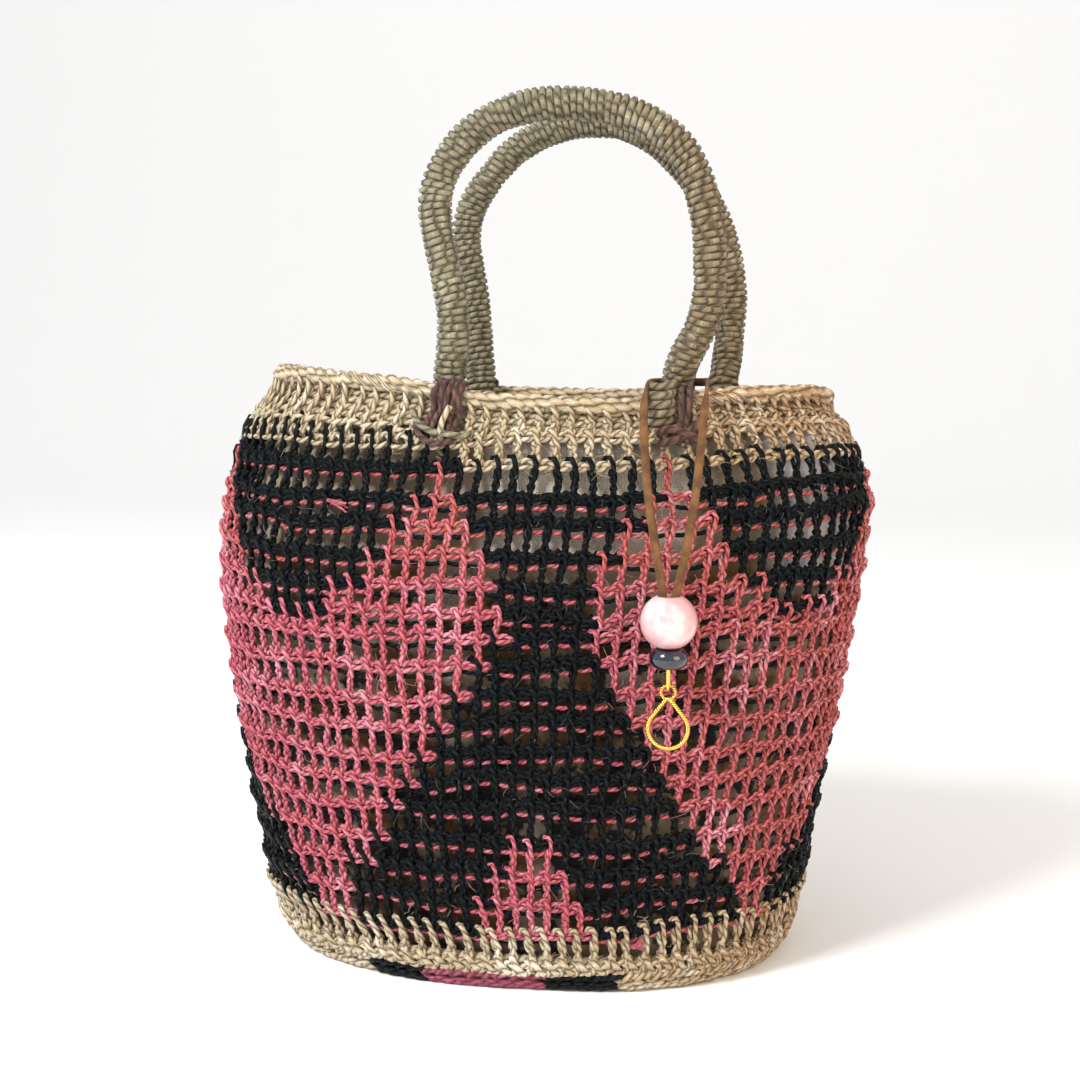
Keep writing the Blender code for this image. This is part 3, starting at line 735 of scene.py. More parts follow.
def node_places(random):
    """Where each bar meets each post: sideways, up and outward shifts, wavy and a little uneven."""
    rows = len(BAR_Z)
    row, column = np.meshgrid(np.arange(rows), np.arange(COLUMNS), indexing="ij")
    turn = 2 * math.pi * column / COLUMNS
    wave = 0.9 * np.sin(5 * turn + row * 0.7) + 0.7 * np.sin(11 * turn - row * 1.9)
    side = random.normal(0, 0.5, (rows, COLUMNS))
    up = wave * 0.75 + random.normal(0, 0.45, (rows, COLUMNS))
    out = 0.3 * np.sin(7 * turn + row * 2.3) + random.normal(0, 0.22, (rows, COLUMNS))
    up[:FIRST_PATTERNED + 1] *= 0.5
    up[FIRST_FOOT:] *= 0.5
    return side, up, out


class Net:
    """The places of every stitch, and the routes of their strands."""

    def __init__(self):
        self.random = np.random.default_rng(11)
        self.side, self.up, self.out = node_places(self.random)
        self.height = np.array(BAR_Z)

    def point(self, row, column, side, up, out):
        """A point beside the meeting of a bar and a post, in millimetres."""
        wrapped = column % COLUMNS
        z = self.height[row] + self.up[row, wrapped] + up
        reach = (side + self.side[row, wrapped]) / column_pitch(z)
        z = z + row_lift(column + reach, z)
        return wall(column + reach, z, self.out[row, wrapped] + out - WALL / 2)

    def between(self, row, column, share, side, up, out):
        """A point part of the way down a post, from its bar to the one below."""
        wrapped = column % COLUMNS
        low = row + 1
        z = (self.height[row] + self.up[row, wrapped]) * (1 - share)
        z = z + (self.height[low] + self.up[low, wrapped]) * share + up
        shift = self.side[row, wrapped] * (1 - share) + self.side[low, wrapped] * share + side
        depth = self.out[row, wrapped] * (1 - share) + self.out[low, wrapped] * share + out
        place = column + shift / column_pitch(z)
        return wall(place, z + row_lift(place, z), depth - WALL / 2)

    def along(self, row, column, share, side, up, out):
        """A point part of the way along a bar, from its post to the next one on the right."""
        here, there = column % COLUMNS, (column + 1) % COLUMNS
        z = self.height[row] + self.up[row, here] * (1 - share) + self.up[row, there] * share + up
        shift = self.side[row, here] * (1 - share) + self.side[row, there] * share + side
        depth = self.out[row, here] * (1 - share) + self.out[row, there] * share + out
        place = column + share + shift / column_pitch(z)
        return wall(place, z + row_lift(place, z), depth - WALL / 2)

    def legs(self, row, column, lean=0.0, splay=0.85):
        """The two legs of each post: they hook over the bar above and twist round each other on the way down."""
        count = len(row)
        start = self.random.uniform(-0.6, 0.6, count) - 0.4
        twist = self.random.normal(1.15, 0.12, count) * 2 * math.pi
        bow = self.random.normal(0, 0.35, count)
        front = [
            self.point(row, column, -3.2 + lean, 1.0, -0.4),
            self.point(row, column, -2.5 + lean, 2.5, 1.0),
            self.point(row, column, -1.2 + lean, 2.9, 1.8),
            self.point(row, column, -0.1 + lean, 1.4, 2.1),
            self.point(row, column, 0.4 + lean, -1.0, 1.5),
        ]
        back = [
            self.point(row, column, 1.0 + lean, 0.5, -1.3),
            self.point(row, column, -0.2 + lean, -0.8, -1.2),
            self.point(row, column, -0.9 + lean, -2.2, -0.3),
        ]
        for share in (0.30, 0.42, 0.54, 0.66, 0.78, 0.90):
            angle = start + twist * (share - 0.3) / 0.6
            swing = lean * (1 - share) + bow * math.sin(math.pi * share)
            wide, deep = splay * np.cos(angle), splay * np.sin(angle)
            front.append(self.between(row, column, share, swing + wide, 0, deep + 0.25))
            back.append(self.between(row, column, share, swing - wide, 0, 0.25 - deep))
        front.append(self.point(row + 1, column, 0.7, 0.5, -0.8))
        front.append(self.point(row + 1, column, 1.6, -0.3, -0.9))
        back.append(self.point(row + 1, column, -0.3, 0.7, -0.6))
        back.append(self.point(row + 1, column, -1.0, -0.2, -0.8))
        return np.stack(front, axis=1), np.stack(back, axis=1)

    def bars(self, row, column, hump=1.0):
        """The two loops of each bar, between a post and the next one."""
        lift = self.random.normal(0, 0.25, len(row))
        upper = [
            self.point(row, column, 0.7, 0.1, -0.4),
            self.along(row, column, 0.25, 0, hump * (0.9 + lift), 0.4),
            self.along(row, column, 0.5, 0, hump * (1.5 + lift), 0.8),
            self.along(row, column, 0.75, 0, hump * (1.0 + lift), 0.9),
            self.along(row, column, 1.0, -0.3, 0.0, 0.2),
        ]
        lower = [
            self.point(row, column, 0.2, -0.6, 0.6),
            self.along(row, column, 0.28, 0, -1.0, 0.7),
            self.along(row, column, 0.6, 0, -0.7, 0.1),
            self.along(row, column, 0.85, 0, 0.1, -0.4),
            self.along(row, column, 1.0, 0.4, 0.2, -0.9),
        ]
        return np.stack(upper, axis=1), np.stack(lower, axis=1)

    def knots(self, row, column):
        """Two more loops that thicken a bar into a row of knots."""
        lift = self.random.normal(0, 0.35, len(row))
        first = [
            self.along(row, column, 0.02, 0, 0.6, -0.6),
            self.along(row, column, 0.22, 0, 2.6 + lift, 0.5),
            self.along(row, column, 0.45, 0, 1.6 + lift, 1.4),
            self.along(row, column, 0.66, 0, -0.2, 1.1),
            self.along(row, column, 0.9, 0, -1.0, 0.0),
        ]
        second = [
            self.along(row, column, 0.12, 0, -0.6, 0.9),
            self.along(row, column, 0.38, 0, 1.2 + lift, 1.3),
            self.along(row, column, 0.62, 0, 3.0 + lift, 0.6),
            self.along(row, column, 0.82, 0, 2.0 + lift, 0.9),
            self.along(row, column, 1.0, 0, 0.2, 0.1),
        ]
        return np.stack(first, axis=1), np.stack(second, axis=1)

    def carried(self, row, column):
        """The other colour's thread, carried behind the posts just under the bar."""
        drop = self.random.normal(-3.1, 0.25, len(row))
        route = [
            self.along(row, column, -0.1, 0, drop, -1.5),
            self.along(row, column, 0.22, 0, drop, -0.6),
            self.along(row, column, 0.5, 0, drop - 0.15, -0.2),
            self.along(row, column, 0.78, 0, drop, -0.6),
            self.along(row, column, 1.1, 0, drop, -1.5),
        ]
        return np.stack(route, axis=1)


def stitches(net, name, rows, columns, finish, leg, bar, lean=0.0, splay=0.85, hump=1.0, knots=0.0):
    """One piece of whole stitches: posts and the bars under them, thickened where knots has a radius."""
    rings = 12
    front, back = net.legs(rows, columns, lean, splay)
    upper, lower = net.bars(rows + 1, columns, hump)
    tones = net.random.uniform(0, 1, len(rows))
    wander = net.random.uniform(0.92, 1.1, len(rows))
    meshes = [
        strand_mesh("front_legs", smooth(front, rings), leg * wander, tones),
        strand_mesh("back_legs", smooth(back, rings - 2), leg * wander, tones[::-1]),
        strand_mesh("upper_loops", smooth(upper, 6), bar * wander, tones),
        strand_mesh("lower_loops", smooth(lower, 6), bar * wander, tones[::-1]),
    ]
    if knots:
        for loops in net.knots(rows + 1, columns):
            meshes.append(strand_mesh("knots", smooth(loops, 5), knots * wander, tones, sides=4))
    return add_piece(name, merged(name, meshes), finish)


def pattern_cells():
    """Every patterned stitch: its row, its column, and whether it is rose."""
    rows, columns = np.meshgrid(np.arange(FIRST_PATTERNED, FIRST_FOOT), np.arange(COLUMNS), indexing="ij")
    rows = np.concatenate([np.full(len(EXTRA_BLACK), FIRST_PATTERNED - 1), rows.ravel()])
    columns = np.concatenate([EXTRA_BLACK, columns.ravel()])
    middles = (np.array(BAR_Z)[rows] + np.array(BAR_Z)[rows + 1]) / 2
    return rows, columns, is_rose(columns, middles) & (rows >= FIRST_PATTERNED)


def make_rose():
    settings = bpy.context.scene.bilum_twine
    rose, warm_lit_rose = tuple(settings.rose), tuple(settings.warm_lit_rose)
    # Rose, the rose under painted warm light, pale patches and painted highlights, and painted shade for the
    # grooves.
    return twine_finish("rose_twine_finish", (rose, warm_lit_rose, (0.98, 0.42, 0.52), (0.10, 0.007, 0.014)), 3.1, high=0.85)


def make_beige():
    beige = tuple(bpy.context.scene.bilum_twine.beige)
    # Beige, beige under painted warm light, pale patches and painted highlights, and painted shade for the grooves.
    return twine_finish("beige_twine_finish", (beige, (0.42, 0.25, 0.11), (0.98, 0.92, 0.76), (0.06, 0.032, 0.012)), 3.4)


def finish_named(name, maker):
    return bpy.data.materials.get(name) or maker()


class BILUM_OT_net(bpy.types.Operator):
    """Crochet the patterned wall: rose and black stitches, with the other colour carried behind them"""

    bl_idname = "bilum.net"
    bl_label = "Patterned net"

    def execute(self, context):
        settings = context.scene.bilum_twine
        net = Net()
        rose = finish_named("rose_twine_finish", make_rose)
        black = finish_named("black_twine_finish", lambda: black_finish("black_twine_finish"))
        rows, columns, rosy = pattern_cells()
        front = (columns >= COLUMNS // 2)
        for name, mask, finish, slot, leg in (
            ("rose_stitches_front", rosy & front, rose, "rose_twine", settings.leg_radius),
            ("rose_stitches_back", rosy & ~front, rose, "rose_twine", settings.leg_radius),
            ("black_stitches_front", ~rosy & front, black, None, settings.leg_radius * 1.12),
            ("black_stitches_back", ~rosy & ~front, black, None, settings.leg_radius * 1.12),
        ):
            knots = 0.0 if slot else 0.95
            made = stitches(net, name, rows[mask], columns[mask], finish, leg, leg, knots=knots)
            if name == "rose_stitches_front":
                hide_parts("net_body")
        for name, mask, finish, slot in (
            ("rose_carried_thread", ~rosy, rose, "rose_twine"),
            ("black_carried_thread", rosy, black, None),
        ):
            route = net.carried(rows[mask] + 1, columns[mask])
            tones = net.random.uniform(0, 1, mask.sum())
            mesh = strand_mesh(name, smooth(route, 5), 0.85, tones)
            add_piece(name, mesh, finish)
        tufts = []
        for x, z, length, slope in ((-68.0, 177.5, 9.0, -0.15), (46.5, 19.5, 5.5, 0.35)):
            for splay in np.linspace(-1, 1, 12):
                reach = length * net.random.uniform(0.7, 1.0)
                rise = reach * slope + splay * net.random.uniform(1.2, 2.4)
                out = net.random.uniform(0.4, 1.8)
                tufts.append(
                    [
                        wall_at_x(x, -1, z + splay * 0.3, 0.0),
                        wall_at_x(x + reach * 0.5, -1, z + rise * 0.35, -out),
                        wall_at_x(x + reach, -1, z + rise, -out * 1.2),
                    ]
                )
        mesh = strand_mesh("rose_tufts", smooth(tufts, 6), 0.42, net.random.uniform(0, 1, len(tufts)), sides=4)
        add_piece("rose_tufts", mesh, rose)
        return {"FINISHED"}


class BILUM_OT_bands(bpy.types.Operator):
    """Crochet the beige rounds at the mouth and the foot, and the oval base under them"""

    bl_idname = "bilum.bands"
    bl_label = "Mouth band, foot and base"

    def execute(self, context):
        net = Net()
        beige = finish_named("beige_twine_finish", make_beige)
        rose = finish_named("rose_twine_finish", make_rose)
        black = finish_named("black_twine_finish", lambda: black_finish("black_twine_finish"))
        every = np.arange(COLUMNS)
        second = np.setdiff1d(every, EXTRA_BLACK)
        mouth = np.repeat([0, 1], [COLUMNS, len(second)])
        columns = np.concatenate([every, second])
        stitches(net, "mouth_band", mouth, columns, beige, 1.0, 1.0, lean=-0.5, splay=1.15)
        place = np.linspace(0, COLUMNS + 0.4, 300)
        threads = [wall(place, np.full(300, z), -2.9 + 0.3 * np.sin(place * 1.7 + z)) for z in (214.7, 212.2, 209.7, 207.2)]
        place = np.linspace(39, 66, 300)
        threads.append(wall(place, 204.6 + 0.7 * np.sin(place * 2.9), -1.7 + 0.5 * np.sin(place * 6.3)))
        tones = np.linspace(0, 0.6, len(threads))
        add_piece("mouth_threads", strand_mesh("mouth_threads", threads, 1.3, tones), beige)
        comb = np.repeat(FIRST_FOOT, COLUMNS)
        stitches(net, "foot_comb", comb, every, beige, 1.0, 1.2, lean=-1.6, splay=1.15, hump=2.4)
        self.make_foot_loops(net, beige)
        self.make_edge(net, beige, rose, black)
        self.make_base(net, beige, rose, black)
        return {"FINISHED"}

    def make_foot_loops(self, net, beige):
        """A thick slanting loop at the foot of each hook of the comb."""
        row, column = np.full(COLUMNS, FIRST_FOOT + 1), np.arange(COLUMNS)
        wave = net.random.normal(0, 0.4, COLUMNS)
        routes = [
            net.point(row, column, -1.6, 7.6 + wave, 0.6),
            net.point(row, column, 0.1, 4.4, 1.7),
            net.point(row, column, 1.9, 1.3 + wave, 1.9),
            net.point(row, column, 3.9, -0.6, 1.3),
            net.point(row, column, 5.5, 0.6, 0.9),
            net.point(row, column, 5.4, 3.4 - wave, 0.7),
            net.point(row, column, 4.2, 5.6, -0.6),
        ]
        routes = smooth(np.stack(routes, axis=1), 13)
        mesh = strand_mesh("foot_loops", routes, 1.15, net.random.uniform(0, 1, COLUMNS), sides=6)
        add_piece("foot_loops", mesh, beige)

    def make_edge(self, net, beige, rose, black):
        """Rounds of cord behind the foot's loops, and the last round of loops in three colours."""
        heights = (12.5, 9.3, 6.1, 3.0)
        column = np.linspace(0, COLUMNS + 0.4, 260)
        routes = np.stack([wall(column, np.full(260, z), -2.9) for z in heights])
        mesh = strand_mesh("foot_ground", routes, 1.8, np.linspace(0, 1, len(heights)))
        add_piece("foot_ground", mesh, beige)
        columns = np.arange(COLUMNS)
        # Magenta, magenta under painted warm light, pale patches and painted highlights, and painted shade for the
        # grooves.
        magenta = ((0.30, 0.035, 0.085), (0.26, 0.03, 0.06), (0.62, 0.2, 0.3), (0.04, 0.004, 0.01))
        rose = twine_finish("magenta_twine_finish", magenta, 4.0)
        rosy = np.isin(columns, EDGE_ROSE)
        dark = np.isin(columns, EDGE_BLACK)
        for name, mask, finish, slot in (
            ("base_edge_black", dark, black, None),
            ("base_edge_rose", rosy, rose, "rose_twine"),
            ("base_edge_beige", ~dark & ~rosy, beige, "beige_twine"),
        ):
            row = np.full(mask.sum(), FIRST_FOOT + 2)
            meshes = []
            for lift, slope in ((4.6, -1.0), (1.5, 0.7), (-0.2, -0.3)):
                wave = net.random.normal(0, 0.75, mask.sum())
                route = np.stack(
                    [
                        net.point(row, columns[mask], -4.2, lift + 1.6 * slope, -1.6),
                        net.point(row, columns[mask], -2.6, lift + 1.2 * slope + wave, 0.5),
                        net.point(row, columns[mask], 0.2, lift + 0.5, 1.2),
                        net.point(row, columns[mask], 3.0, lift - 0.9 * slope, 1.0),
                        net.point(row, columns[mask], 5.6, lift - 1.4 * slope - wave, 0.3),
                        net.point(row, columns[mask], 7.4, lift - 0.6 * slope, -1.6),
                    ],
                    axis=1,
                )
                tones = net.random.uniform(0, 1, mask.sum())
                meshes.append(strand_mesh("edge", smooth(route, 10), 1.25, tones))
            add_piece(name, merged(name, meshes), finish)

    def make_base(self, net, beige, rose, black):
        """The oval base: rounds of twine laid side by side, on a closed ground."""
        half_width, half_depth, lean = level_at(2.0)
        pitch = 3.5
        rounds = int((half_depth - 3) / pitch)
        angles = np.linspace(0, 2 * math.pi * 1.004, 150)
        routes = []
        for i in range(rounds):
            inset = 4.0 + pitch * i
            x, y = outline_points(angles, half_width - inset, half_depth - inset)
            routes.append(np.stack([x + lean, y, np.full_like(x, 1.9)], axis=-1))
        routes = np.array(routes)
        which = np.arange(rounds)
        for name, mask, finish, slot in (
            ("base_rounds_black", which % 6 < 2, black, None),
            ("base_rounds_rose", which % 6 == 2, rose, "rose_twine"),
            ("base_rounds_beige", which % 6 > 2, beige, "beige_twine"),
        ):
            mesh = strand_mesh(name, routes[mask], 1.85, net.random.uniform(0, 1, mask.sum()))
            add_piece(name, mesh, finish)
        work = bmesh.new()
        bmesh.ops.create_circle(work, cap_ends=True, segments=COLUMNS, radius=1.0)
        for vert in work.verts:
            angle = math.atan2(vert.co.y, vert.co.x)
            x, y = outline_points(angle, half_width - 3.0, half_depth - 3.0)
            vert.co = ((x + lean) * MM, y * MM, 2.2 * MM)
        bmesh.ops.solidify(work, geom=work.faces[:], thickness=-1.6 * MM)
        bmesh.ops.recalc_face_normals(work, faces=work.faces)
        mesh = bpy.data.meshes.new("base_ground")
        work.to_mesh(mesh)
        work.free()
        made = add_piece("base_ground", mesh, black)
        made.data.uv_layers.new(name="UVMap")
        return made


class BILUM_OT_rim(bpy.types.Operator):
    """Lay the thick rolled edging round the mouth, as strands that wind along it"""

    bl_idname = "bilum.rim"
    bl_label = "Rolled edging"

    def execute(self, context):
        random = np.random.default_rng(23)
        beige = finish_named("beige_twine_finish", make_beige)
        strands, steps = 3, 620
        column = np.linspace(0, COLUMNS + 0.3, steps)
        centre = wall(column, np.full(steps, RIM_Z), -WALL / 2)
        centre[:, 2] += ROLL_GAP + ROLL_RADIUS
        phase = np.linspace(0, 2 * math.pi * 34, steps)
        bulge = 1 + 0.13 * np.sin(np.linspace(0, 2 * math.pi * 61, steps)) + 0.1 * np.sin(phase * 0.37)
        side, up = carried_frames(centre[None], np.array([[0.0, 0.0, 1.0]]))
        routes = []
        for i in range(strands):
            angle = (phase + 2 * math.pi * i / strands)[:, None]
            reach = (1.6 * bulge)[:, None]
            routes.append(centre + reach * (np.cos(angle) * side[0] + np.sin(angle) * up[0]))
        tones = random.uniform(0, 1, strands)
        mesh = strand_mesh("rim_roll_strands", np.array(routes), 1.72, tones, sides=7, stretch=1.5)
        add_piece("rim_roll_strands", mesh, beige, replaces=("rim_roll",))
        core = strand_mesh("rim_roll_core", centre[None, ::4], 1.5, 0.0)
        add_piece("rim_roll_core", core, beige)
        return {"FINISHED"}


class BILUM_OT_handles(bpy.types.Operator):
    """Bind the two rope handles with twine, turn by turn"""

    bl_idname = "bilum.handles"
    bl_label = "Bound handles"

    def execute(self, context):
        random = np.random.default_rng(31)
        olive = tuple(context.scene.bilum_twine.olive)
        # Olive, olive under painted warm light, pale patches and painted highlights, and painted shade for the
        # grooves.
        colours = (olive, (0.20, 0.125, 0.055), (0.50, 0.47, 0.33), (0.030, 0.024, 0.012))
        finish = twine_finish("olive_twine_finish", colours, 4.4, relief=0.0008, loose=1.6)
        for node, route in (("handle_front", FRONT_ROUTE), ("handle_back", BACK_ROUTE)):
            _, length = even_route(route, 100)
            turns = length / 2.6
            steps = int(turns * 13)
            points, _ = even_route(route, steps)
            side, up = carried_frames(points[None], np.array([[0.0, -1.0, 0.0]]))
            wander = np.interp(np.arange(steps), np.arange(0, steps, 20), random.normal(0, 0.5, len(range(0, steps, 20))))
            swell = np.interp(np.arange(steps), np.arange(0, steps, 33), random.normal(0, 0.2, len(range(0, steps, 33))))
            angle = (np.linspace(0, 2 * math.pi * turns, steps) + wander)[:, None]
            reach = (HANDLE_RADIUS - 1.2 + swell)[:, None]
            coil = points + reach * (np.cos(angle) * side[0] + np.sin(angle) * up[0])
            mesh = strand_mesh(node + "_binding", coil[None], 1.36, 0.4, sides=6)
            add_piece(node + "_binding", mesh, finish, replaces=(node,))
            core = strand_mesh(node + "_core", points[None, ::20], 5.1, 0.0, sides=12)
            add_piece(node + "_core", core, finish)
        return {"FINISHED"}


class BILUM_OT_lashings(bpy.types.Operator):
    """Tie the handles' roots to the rim with crossing strands of twine"""

    bl_idname = "bilum.lashings"
    bl_label = "Lashings"

    def execute(self, context):
        random = np.random.default_rng(41)
        brown = tuple(context.scene.bilum_twine.brown)
        # Brown, brown under painted warm light, pale patches and painted highlights, and painted shade for the
        # grooves.
        colours = (brown, (0.10, 0.042, 0.02), (0.28, 0.13, 0.09), (0.006, 0.002, 0.001))
        brown_finish = twine_finish("brown_twine_finish", colours, 4.0)
        olive = bpy.data.materials["olive_twine_finish"]
        for row in LASHINGS:
            routes = []
            for i in range(row["strands"]):
                across = (i + 0.5) / row["strands"] - 0.5
                routes.append(self.saddle(row, across, random))
            tones = random.uniform(0, 1, len(routes))
            mesh = strand_mesh(row["node"] + "_strands", smooth(routes, 26), 1.25, tones, sides=7)
            finish = brown_finish if row["slant"] else olive
            add_piece(row["node"] + "_strands", mesh, finish, replaces=(row["node"],))
        finishes = {"olive": olive, "brown": brown_finish, "beige": bpy.data.materials["beige_twine_finish"]}
        for name, colour, radius, places in TIES:
            route = [wall_at_x(x, -1, z, -out - radius + 0.4) for x, z, out in places]
            mesh = strand_mesh(name, smooth([route], 24), radius, 0.6, sides=7)
            add_piece(name, mesh, finishes[colour])
        turns = []
        for i in range(5):
            height = RIM_Z + 9.6 - 3.1 * i
            out = (1.0, 3.6, 4.4, 4.0, 2.6)[i]
            turn = []
            for x, deep, drop in ((50.6, -6, 0.6), (51.1, -1.5, 0.3), (53.0, -0.2, 0), (55.4, 0, -0.2), (57.6, -0.6, 0), (58.8, -2.5, 0.5), (59.2, -7, 0.8)):
                point = wall_at_x(x, -1, RIM_Z, -(out + deep))
                point[2] += height - RIM_Z + drop
                turn.append(point)
            turns.append(turn)
        mesh = strand_mesh("root_turns", smooth(turns, 26), 1.6, np.linspace(0.1, 0.9, 5), sides=7)
        add_piece("root_turns", mesh, olive)
        return {"FINISHED"}

    def saddle(self, row, across, random):
        """A strand that runs up the band's face, over the rolled edging and down to the handle's root."""
        strand = 1.1
        reach = ROLL_RADIUS + 0.6 + strand
        profile = [(-0.6 - strand, -row["drop"] * share) for share in (1.0, 0.75, 0.5, 0.25)]
        for degrees in (180, 145, 110, 75):
            angle = math.radians(degrees)
            rise = ROLL_GAP + ROLL_RADIUS + reach * math.sin(angle)
            profile.append((WALL / 2 + reach * math.cos(angle), rise))
        points = []
        for step, (inset, rise) in enumerate(profile):
            low = 1 - step / (len(profile) - 1)
            x = row["x"] + across * row["width"] * (1 + 0.25 * low) - row["slant"] * low + random.normal(0, 0.35)
            point = wall_at_x(x, row["side"], min(RIM_Z + rise, RIM_Z), inset)
            point[2] += max(rise, 0.0)
            points.append(point)
        return points


def step_up(value, width):
    """0 below zero, 1 above the width, and even between them."""
    return min(max(value / width, 0.0), 1.0)


class BILUM_OT_lining(bpy.types.Operator):
    """Hang the cloth lining inside the net, with soft upright folds"""

    bl_idname = "bilum.lining"
    bl_label = "Lining"

    def execute(self, context):
        segments, rows = COLUMNS * 2, 44
        heights = np.linspace(LINING_FROM_Z, LINING_TO_Z, rows)
        column = np.arange(segments) / 2
        turn = 2 * math.pi * column / COLUMNS
        work = bmesh.new()
        uv = work.loops.layers.uv.new("UVMap")
        low = work.verts.layers.float.new("low")
        pale = work.verts.layers.float.new("pale")
        panel = work.verts.layers.float.new("canvas")
        made = bmesh.ops.create_circle(work, cap_ends=True, segments=segments, radius=1.0)["verts"]
        ring = sorted(made, key=lambda v: math.atan2(v.co.y, v.co.x) % (2 * math.pi - 1e-4))
        where = {}
        edges = [e for e in work.edges]
        for step, z in enumerate(heights):
            if step:
                grown = bmesh.ops.extrude_edge_only(work, edges=edges)["geom"]
                new = {g for g in grown if isinstance(g, bmesh.types.BMVert)}
                edges = [g for g in grown if isinstance(g, bmesh.types.BMEdge) and all(v in new for v in g.verts)]
                ring = [next(e.other_vert(v) for e in v.link_edges if e.other_vert(v) in new) for v in ring]
            fold = LINING_FOLD * np.sin(LINING_FOLDS * turn + z / 60.0) * min(z / 40.0, 1.0)
            crease = 0.35 * np.sin(19 * turn + 2.2 * np.sin(z / 23.0)) * min(z / 40.0, 1.0)
            hem = max(z - LINING_HEM_FROM_Z, 0) / (LINING_TO_Z - LINING_HEM_FROM_Z)
            loose = LINING_INSET + fold + crease
            inset = loose + (LINING_HEM_INSET - loose) * hem
            places = wall(column, np.full(segments, z), -(inset + 0.3))
            if not step:
                places[:, 2] = z
            for i, (vert, place) in enumerate(zip(ring, places)):
                vert.co = place * MM
                where[vert] = (column[i], z)
        bmesh.ops.recalc_face_normals(work, faces=work.faces)
        for vert, (at, z) in where.items():
            # low: where the cloth turns brown, partly painted shade of the bag's lower inside.
            vert[low] = step_up(165 - z + 6 * math.sin(at * 0.8), 12)
            vert[pale] = step_up(at - 82.5, 1.5) * step_up(z - 148, 8)
            vert[panel] = step_up(at - 67.0, 0.5) * step_up(79.0 - at, 0.5) * step_up(z - 163, 2)
        for face in work.faces:
            places = [where[loop.vert] for loop in face.loops]
            wraps = max(p[0] for p in places) - min(p[0] for p in places) > COLUMNS / 2
            for loop, (at, z) in zip(face.loops, places):
                at = at + COLUMNS if wraps and at < COLUMNS / 2 and len(places) == 4 else at
                loop[uv].uv = (at * WIDEST_PITCH, z)
        mesh = bpy.data.meshes.new("lining_cloth")
        work.to_mesh(mesh)
        work.free()
        made = add_piece("lining_cloth", mesh, canvas_finish("lining_finish"), replaces=("lining",))
        wall_of_cloth = made.modifiers.new("cloth", "SOLIDIFY")
        wall_of_cloth.thickness = 0.7 * MM
        wall_of_cloth.offset = -1.0
        return {"FINISHED"}


def spun(name, profile, segments):
    """A turned bead: a closed profile of radius and height, spun round the charm's upright."""
    work = bmesh.new()
    verts = [work.verts.new((radius * MM, 0, z * MM)) for radius, z in profile]
    for a, b in zip(verts, verts[1:] + verts[:1]):
        work.edges.new((a, b))
    bmesh.ops.spin(
        work, geom=work.verts[:] + work.edges[:], cent=(0, 0, 0), axis=(0, 0, 1),
        angle=2 * math.pi, steps=segments, use_merge=True,
    )
    bmesh.ops.remove_doubles(work, verts=work.verts[:], dist=1e-6)
    bmesh.ops.recalc_face_normals(work, faces=work.faces)
    bmesh.ops.translate(work, verts=work.verts[:], vec=(CHARM_X * MM, CHARM_Y * MM, 0))
    mesh = bpy.data.meshes.new(name)
    work.to_mesh(mesh)
    work.free()
    return mesh


